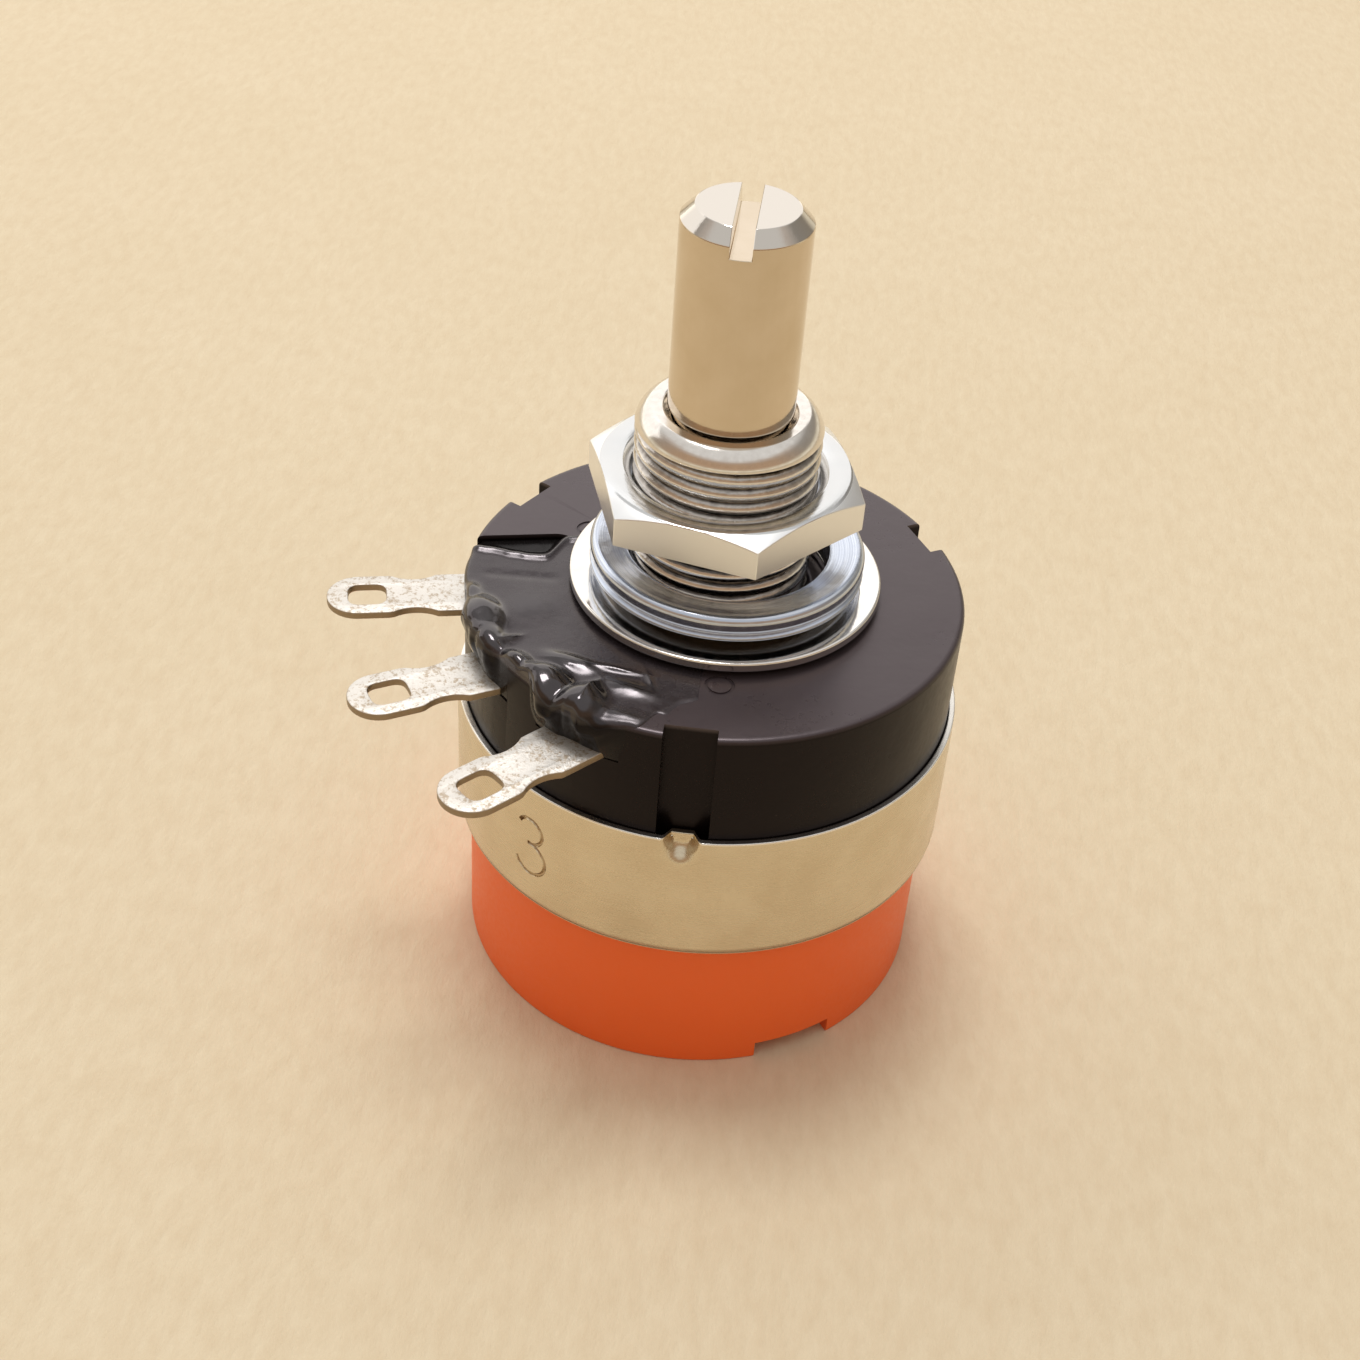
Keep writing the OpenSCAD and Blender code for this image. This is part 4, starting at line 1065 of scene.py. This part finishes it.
def make_potting():
    """Hand-laid resin, section by section round the rim, then eased so that the folds run together."""
    rings = []
    for k in range(RESIN_COLUMNS + 1):
        az = RESIN_FROM + (RESIN_TO - RESIN_FROM) * k / RESIN_COLUMNS
        section = [(out * MM, z * MM) for out, z in resin_section(az)]
        rings.append(around(section, math.radians(az)))
    potting = skin("potting_laid", rings, looped=False)
    eased = potting.modifiers.new("ease", "SMOOTH")
    eased.factor = 0.5
    eased.iterations = 4
    bake(potting)
    finish(potting, potting_resin(), "case", "epoxy", "potting_compound", sharp=70)


def lug_side(inner, tip, half, waist):
    """One side of a lug as (along, out) from its round root to its round tip, with any waist."""
    side = []
    for k in range(LUG_STATIONS + 1):
        x = inner - half + (tip - inner + half) * (1 - math.cos(math.pi * k / LUG_STATIONS)) / 2
        out = half
        near = WAIST_CUT_R ** 2 - (x - waist) ** 2 if waist else 0
        if near > 0:
            out = min(out, WAIST_W / 2 + WAIST_CUT_R - math.sqrt(near))
        if x > tip - half:
            out = math.sqrt(max(half ** 2 - (x - tip + half) ** 2, 0))
        if x < inner:
            out = math.sqrt(max(half ** 2 - (x - inner) ** 2, 0))
        side.append((x, out))
    return side


def plate(name, outlines, low, high, place):
    """A flat plate with rounded edges: the first outline, with the others as holes in it."""
    curve = bpy.data.curves.new(name, "CURVE")
    curve.dimensions = "2D"
    curve.fill_mode = "BOTH"
    curve.extrude = (high - low) / 2 - LUG_EDGE
    curve.bevel_depth = LUG_EDGE
    curve.bevel_resolution = 2
    curve.offset = -LUG_EDGE
    for outline in outlines:
        spline = curve.splines.new("POLY")
        spline.use_cyclic_u = True
        spline.points.add(len(outline) - 1)
        for target, (x, y) in zip(spline.points, outline):
            target.co = (x, y, 0, 1)
    drawn = bpy.data.objects.new(name, curve)
    scene.collection.objects.link(drawn)
    data = made_mesh(drawn)
    bpy.data.objects.remove(drawn)
    data.transform(place @ Matrix.Translation((0, 0, (low + high) / 2)))
    mesh = bmesh.new()
    mesh.from_mesh(data)
    bpy.data.meshes.remove(data)
    bmesh.ops.remove_doubles(mesh, verts=mesh.verts, dist=LUG_MERGE)
    bmesh.ops.recalc_face_normals(mesh, faces=mesh.faces)
    return new_object(name, mesh)


def lug_outlines(inner, tip, width, waist):
    """Plan of a lug and of the wire eye near its tip."""
    side = lug_side(inner, tip, width / 2, waist)
    outer = side + [(x, -out) for x, out in side[-2:0:-1]]
    eye_at = tip - EYE_INSET
    eye = box_outline(eye_at - EYE_LEN / 2, eye_at + EYE_LEN / 2, -EYE_W / 2, EYE_W / 2)
    return outer, rounded(eye, EYE_CORNER)


def make_lugs():
    tin = tinned_lug()
    terminal = lug_outlines(TERM_ROOT, TERM_TIP, TERM_W, WAIST_X)
    for i, node in zip((-1, 0, 1), TERMINALS):
        lug = plate("lug_" + node, terminal, lug_low.z, lug_high.z, terminal_place(i))
        finish(lug, tin, "case", "tinned", node, sharp=40)
    rear = lug_outlines(POST_AT, SWLUG_TIP, SWLUG_W, None)
    for node, az in SWLUG_AZ.items():
        lug = plate("lug_" + node, rear, swlug_low.z, swlug_high.z, turned(az))
        finish(lug, tin, "case", "tinned", node, sharp=40)


def digit_strokes():
    """Centre lines of the stamped digit in (sideways, up): two open rounds, the lower one larger."""
    middle = DIGIT_LOWER_R * 0.96
    upper = arc((0, middle + DIGIT_UPPER_R), DIGIT_UPPER_R, 155, -100, 24)
    lower = arc((0, middle - DIGIT_LOWER_R), DIGIT_LOWER_R, 100, -160, 28)
    return upper, lower


def stroke_cutter(points):
    """A round bar along a line drawn on the band, for stamping it in."""
    spokes = [TURN * i / STROKE_SIDES for i in range(STROKE_SIDES)]
    rings = []
    for k, (across, up) in enumerate(points):
        ahead = Vector(points[min(k + 1, len(points) - 1)])
        behind = Vector(points[max(k - 1, 0)])
        run = (ahead - behind).normalized()
        turn = DIGIT_AZ + across / BAND_R
        out = Vector((math.cos(turn), math.sin(turn), 0))
        along = Vector((-math.sin(turn), math.cos(turn), 0))
        beside = along * -run.y + Vector((0, 0, run.x))
        centre = out * BAND_R + Vector((0, 0, DIGIT_Z + up))
        rings.append([centre + (out * math.cos(a) + beside * math.sin(a)) * DIGIT_STROKE for a in spokes])
    return skin("digit_cut", rings, looped=False)


def crimp_dent(az, z):
    """How far the band is pushed in at a place: a rounded dimple open at the top edge over each groove."""
    push = BAND_R - CRIMP_R - BAND_T
    dent = 0.0
    for groove in GROOVE_AZ:
        side = math.remainder(az - groove, TURN) * BAND_R / (CRIMP_W / 2 + BAND_T / 2)
        down = (band_high.z - z) / (CRIMP_H + BAND_T / 2)
        away = math.hypot(side, max(down, 0.0))
        if away < 1:
            dent = max(dent, push * min(1.0, 2.6 * (1 - away)) ** 1.4)
    return dent


def band_outline():
    """Section of the band: a foot rolled under the housing's flange, outside, top rim and inside."""
    top, low = band_high.z, band_low.z
    inside = BAND_R - BAND_T
    foot_r = HOUSING_R + FOOT_GAP
    foot_top = low + BAND_T
    under = [(inside, foot_top), (foot_r, foot_top), (foot_r, low), (BAND_R, low)]
    foot = rounded(under, BAND_EDGE, first=1)
    outside = [(BAND_R, low + (top - low) * k / BAND_ROWS) for k in range(1, BAND_ROWS)]
    rim = rounded([(BAND_R, top), (inside, top), (inside, low), (BAND_R, low)], BAND_EDGE, last=2)
    inner = [(inside, top + (foot_top - top) * k / BAND_ROWS) for k in range(1, BAND_ROWS)]
    return foot + outside + rim + inner


def make_band():
    outline = band_outline()
    rings = []
    for k in range(BAND_STEPS):
        az = TURN * k / BAND_STEPS
        ring = []
        for r, z in outline:
            dent = crimp_dent(az, z)
            sag = CRIMP_SAG * dent if z > band_high.z - CRIMP_SAG_H else 0
            ring.append((r - dent, z - sag))
        rings.append(around(ring, az))
    band = skin("band_rolled", rings)
    cut(band, [stroke_cutter(points) for points in digit_strokes()])
    finish(band, band_tin(), "case", "band_steel", "case_band", sharp=45)


def make_housing():
    low, high = housing_low.z, housing_high.z
    rear = low + RIM_DEPTH
    floor = rear + REAR_T
    shoulder = band_low.z + BAND_T
    rim_in = HOUSING_R - RIM_T
    outline = [(0, floor), (CHAMBER_R, floor), (CHAMBER_R, high), (FLANGE_R, high), (FLANGE_R, shoulder),
               (HOUSING_R, shoulder), (HOUSING_R, low), (rim_in, low), (rim_in, rear), (0, rear)]
    wall = rounded(outline, HOUSING_BEVEL, first=1, last=-1)
    housing = lathe("housing_orange", [(0, floor)] + wall + [(0, rear)], closed=False)
    notch = box_outline(rim_in - NOTCH_PAST, HOUSING_R + NOTCH_PAST, -NOTCH_W / 2, NOTCH_W / 2)
    cuts = [prism("notch_cut", notch, low - NOTCH_PAST, rear, turned(az)) for az in NOTCH_AZ]
    seat = arc((0, 0), SPRING_SEAT_R, 0, 350, 35)
    seat_place = Matrix.Translation((0, CHAMBER_R, spring_middle.z)) @ Z_TO_Y
    cuts.append(prism("seat_cut", seat, -NOTCH_PAST, SPRING_SEAT_DEPTH, seat_place))
    cut(housing, cuts)
    soften(housing, HOUSING_EDGE, angle=40)
    finish(housing, orange_plastic(), "case", "orange_plastic", "switch_housing")


def make_spring():
    """Coil spring along Y, wound to fill the box of the solid that it stands for."""
    middle = spring_middle
    rise = spring_high.y - spring_low.y - 2 * WIRE_R
    steel = plain_inner("spring_wire", (0.46, 0.46, 0.47), (0.36, 0.36, 0.38), 1.0, 0.3)
    spring = wind("spring_coil", wire_profile, {
        "Pitch": rise / COIL_TURNS, "Turns": float(COIL_TURNS), "Radius": spring_high.x - WIRE_R,
        "Section": WIRE_R, "Start height": spring_low.y + WIRE_R, "Steps per turn": COIL_STEPS,
        "Finish": steel})
    spring.data.transform(Matrix.Translation((0, 0, middle.z)) @ Z_TO_Y)
    dress(spring, steel, "spring_steel", "contact_spring", sharp=60)
    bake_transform(spring)


def dress_inner():
    """Finishes of the solids that stay as they are."""
    looks = {slot: plain_inner(*made_of) for slot, made_of in INNER_FINISHES.items()}
    for part in frame["record"]["subparts"]:
        look = looks.get(part["material_slot"])
        if look:
            piece = nodes[part["node"]]
            piece.data.materials.clear()
            piece.data.materials.append(look)


def make_stage():
    """Pale paper floor, a wide window behind to the left, a soft lamp over the part and a room round it."""
    mesh = bmesh.new()
    bmesh.ops.create_circle(mesh, cap_ends=True, radius=FLOOR_R, segments=FLOOR_SIDES)
    mesh.transform(Matrix.Translation((0, 0, housing_low.z)))
    floor = new_object("floor", mesh)
    floor.data.materials.append(bench_paper())
    hang_light("window", WINDOW_AT, WINDOW_SIZE, WINDOW_RADIANCE)
    hang_light("lamp", LAMP_AT, LAMP_SIZE, LAMP_RADIANCE)
    make_room()


def hang_light(name, where, size, radiance):
    """A soft rectangular light that faces the part."""
    width, tall = size
    light = bpy.data.lights.new(name, "AREA")
    light.shape = "RECTANGLE"
    light.size = width
    light.size_y = tall
    light.energy = radiance * math.pi * width * tall
    light.color = LIGHT_COLOUR
    holder = bpy.data.objects.new(name, light)
    holder.location = where
    holder.rotation_euler = (-where).to_track_quat("-Z", "Y").to_euler()
    scene.collection.objects.link(holder)


def room_light(room, towards):
    """Colour of the room's light by direction: dim walls, warm in front, under a bright ceiling."""
    ramp = room.add("ShaderNodeValToRGB")
    room.join(towards["Z"], ramp.inputs["Fac"])
    stops = ramp.color_ramp.elements
    stops[0].color = (*WALL_FOOT, 1)
    stops[1].position = CEILING_FROM
    stops[1].color = (*CEILING, 1)
    stops.new(WALL_TO).color = (*WALL_TOP, 1)
    overhead = room.span(towards["Z"], 0.55, 0.76)
    behind = room.span(towards["Y"], -0.5, 0.3)
    return room.blend(room.math("MAXIMUM", overhead, behind), FRONT_WALL, ramp.outputs["Color"])


def seen_low(room, towards):
    """Where the camera or a reflection looks near the horizon."""
    ray = room.add("ShaderNodeLightPath").outputs
    mirrored = room.math("MAXIMUM", ray["Is Glossy Ray"], ray["Is Transmission Ray"])
    seen = room.math("MAXIMUM", ray["Is Camera Ray"], mirrored)
    return room.math("MULTIPLY", seen, room.span(towards["Z"], 0.22, 0.08))


def make_room():
    """World light, with a pale wall that is seen and mirrored near the horizon."""
    world = bpy.data.worlds.new("room")
    scene.world = world
    world.use_nodes = True
    room = Nodes(world.node_tree)
    split = room.add("ShaderNodeSeparateXYZ")
    room.join(room.add("ShaderNodeTexCoord").outputs["Generated"], split.inputs["Vector"])
    light = room.add("ShaderNodeBackground")
    light.inputs["Strength"].default_value = ROOM_STRENGTH
    room.join(room_light(room, split.outputs), light.inputs["Color"])
    wall = room.add("ShaderNodeBackground")
    wall.inputs["Color"].default_value = (*PALE_WALL, 1)
    choose = room.add("ShaderNodeMixShader")
    room.join(seen_low(room, split.outputs), choose.inputs["Fac"])
    room.join(light.outputs["Background"], choose.inputs[1])
    room.join(wall.outputs["Background"], choose.inputs[2])
    room.join(choose.outputs["Shader"], room.add("ShaderNodeOutputWorld").inputs["Surface"])


def make_camera():
    """The photograph's camera: its distance and tilt, its roll, and where the origin falls in the frame."""
    back = Vector((0, -math.cos(CAMERA_ELEVATION), math.sin(CAMERA_ELEVATION)))
    right = Vector((1, 0, 0))
    level = Matrix((right, back.cross(right), back))
    middle = PHOTO_PX / 2
    aim = Vector(((ORIGIN_PX[0] - middle) / FOCAL_PX, (middle - ORIGIN_PX[1]) / FOCAL_PX, -1))
    swing = Vector((0, 0, -1)).rotation_difference(aim).to_matrix()
    to_camera = swing @ Matrix.Rotation(CAMERA_ROLL, 3, "Z") @ level
    data = bpy.data.cameras.new("camera")
    data.sensor_width = SENSOR_MM
    data.lens = FOCAL_PX * SENSOR_MM / PHOTO_PX
    data.clip_start = 1 * MM
    camera = bpy.data.objects.new("camera", data)
    camera.matrix_world = Matrix.Translation(back * CAMERA_DISTANCE) @ to_camera.transposed().to_4x4()
    scene.collection.objects.link(camera)
    scene.camera = camera


make_camera()
make_shaft()
make_bush()
make_nut()
make_flat_washer()
make_dished_washer()
make_moulding()
make_potting()
make_lugs()
make_band()
make_housing()
make_spring()
dress_inner()
make_stage()
scene.view_settings.view_transform = "Standard"
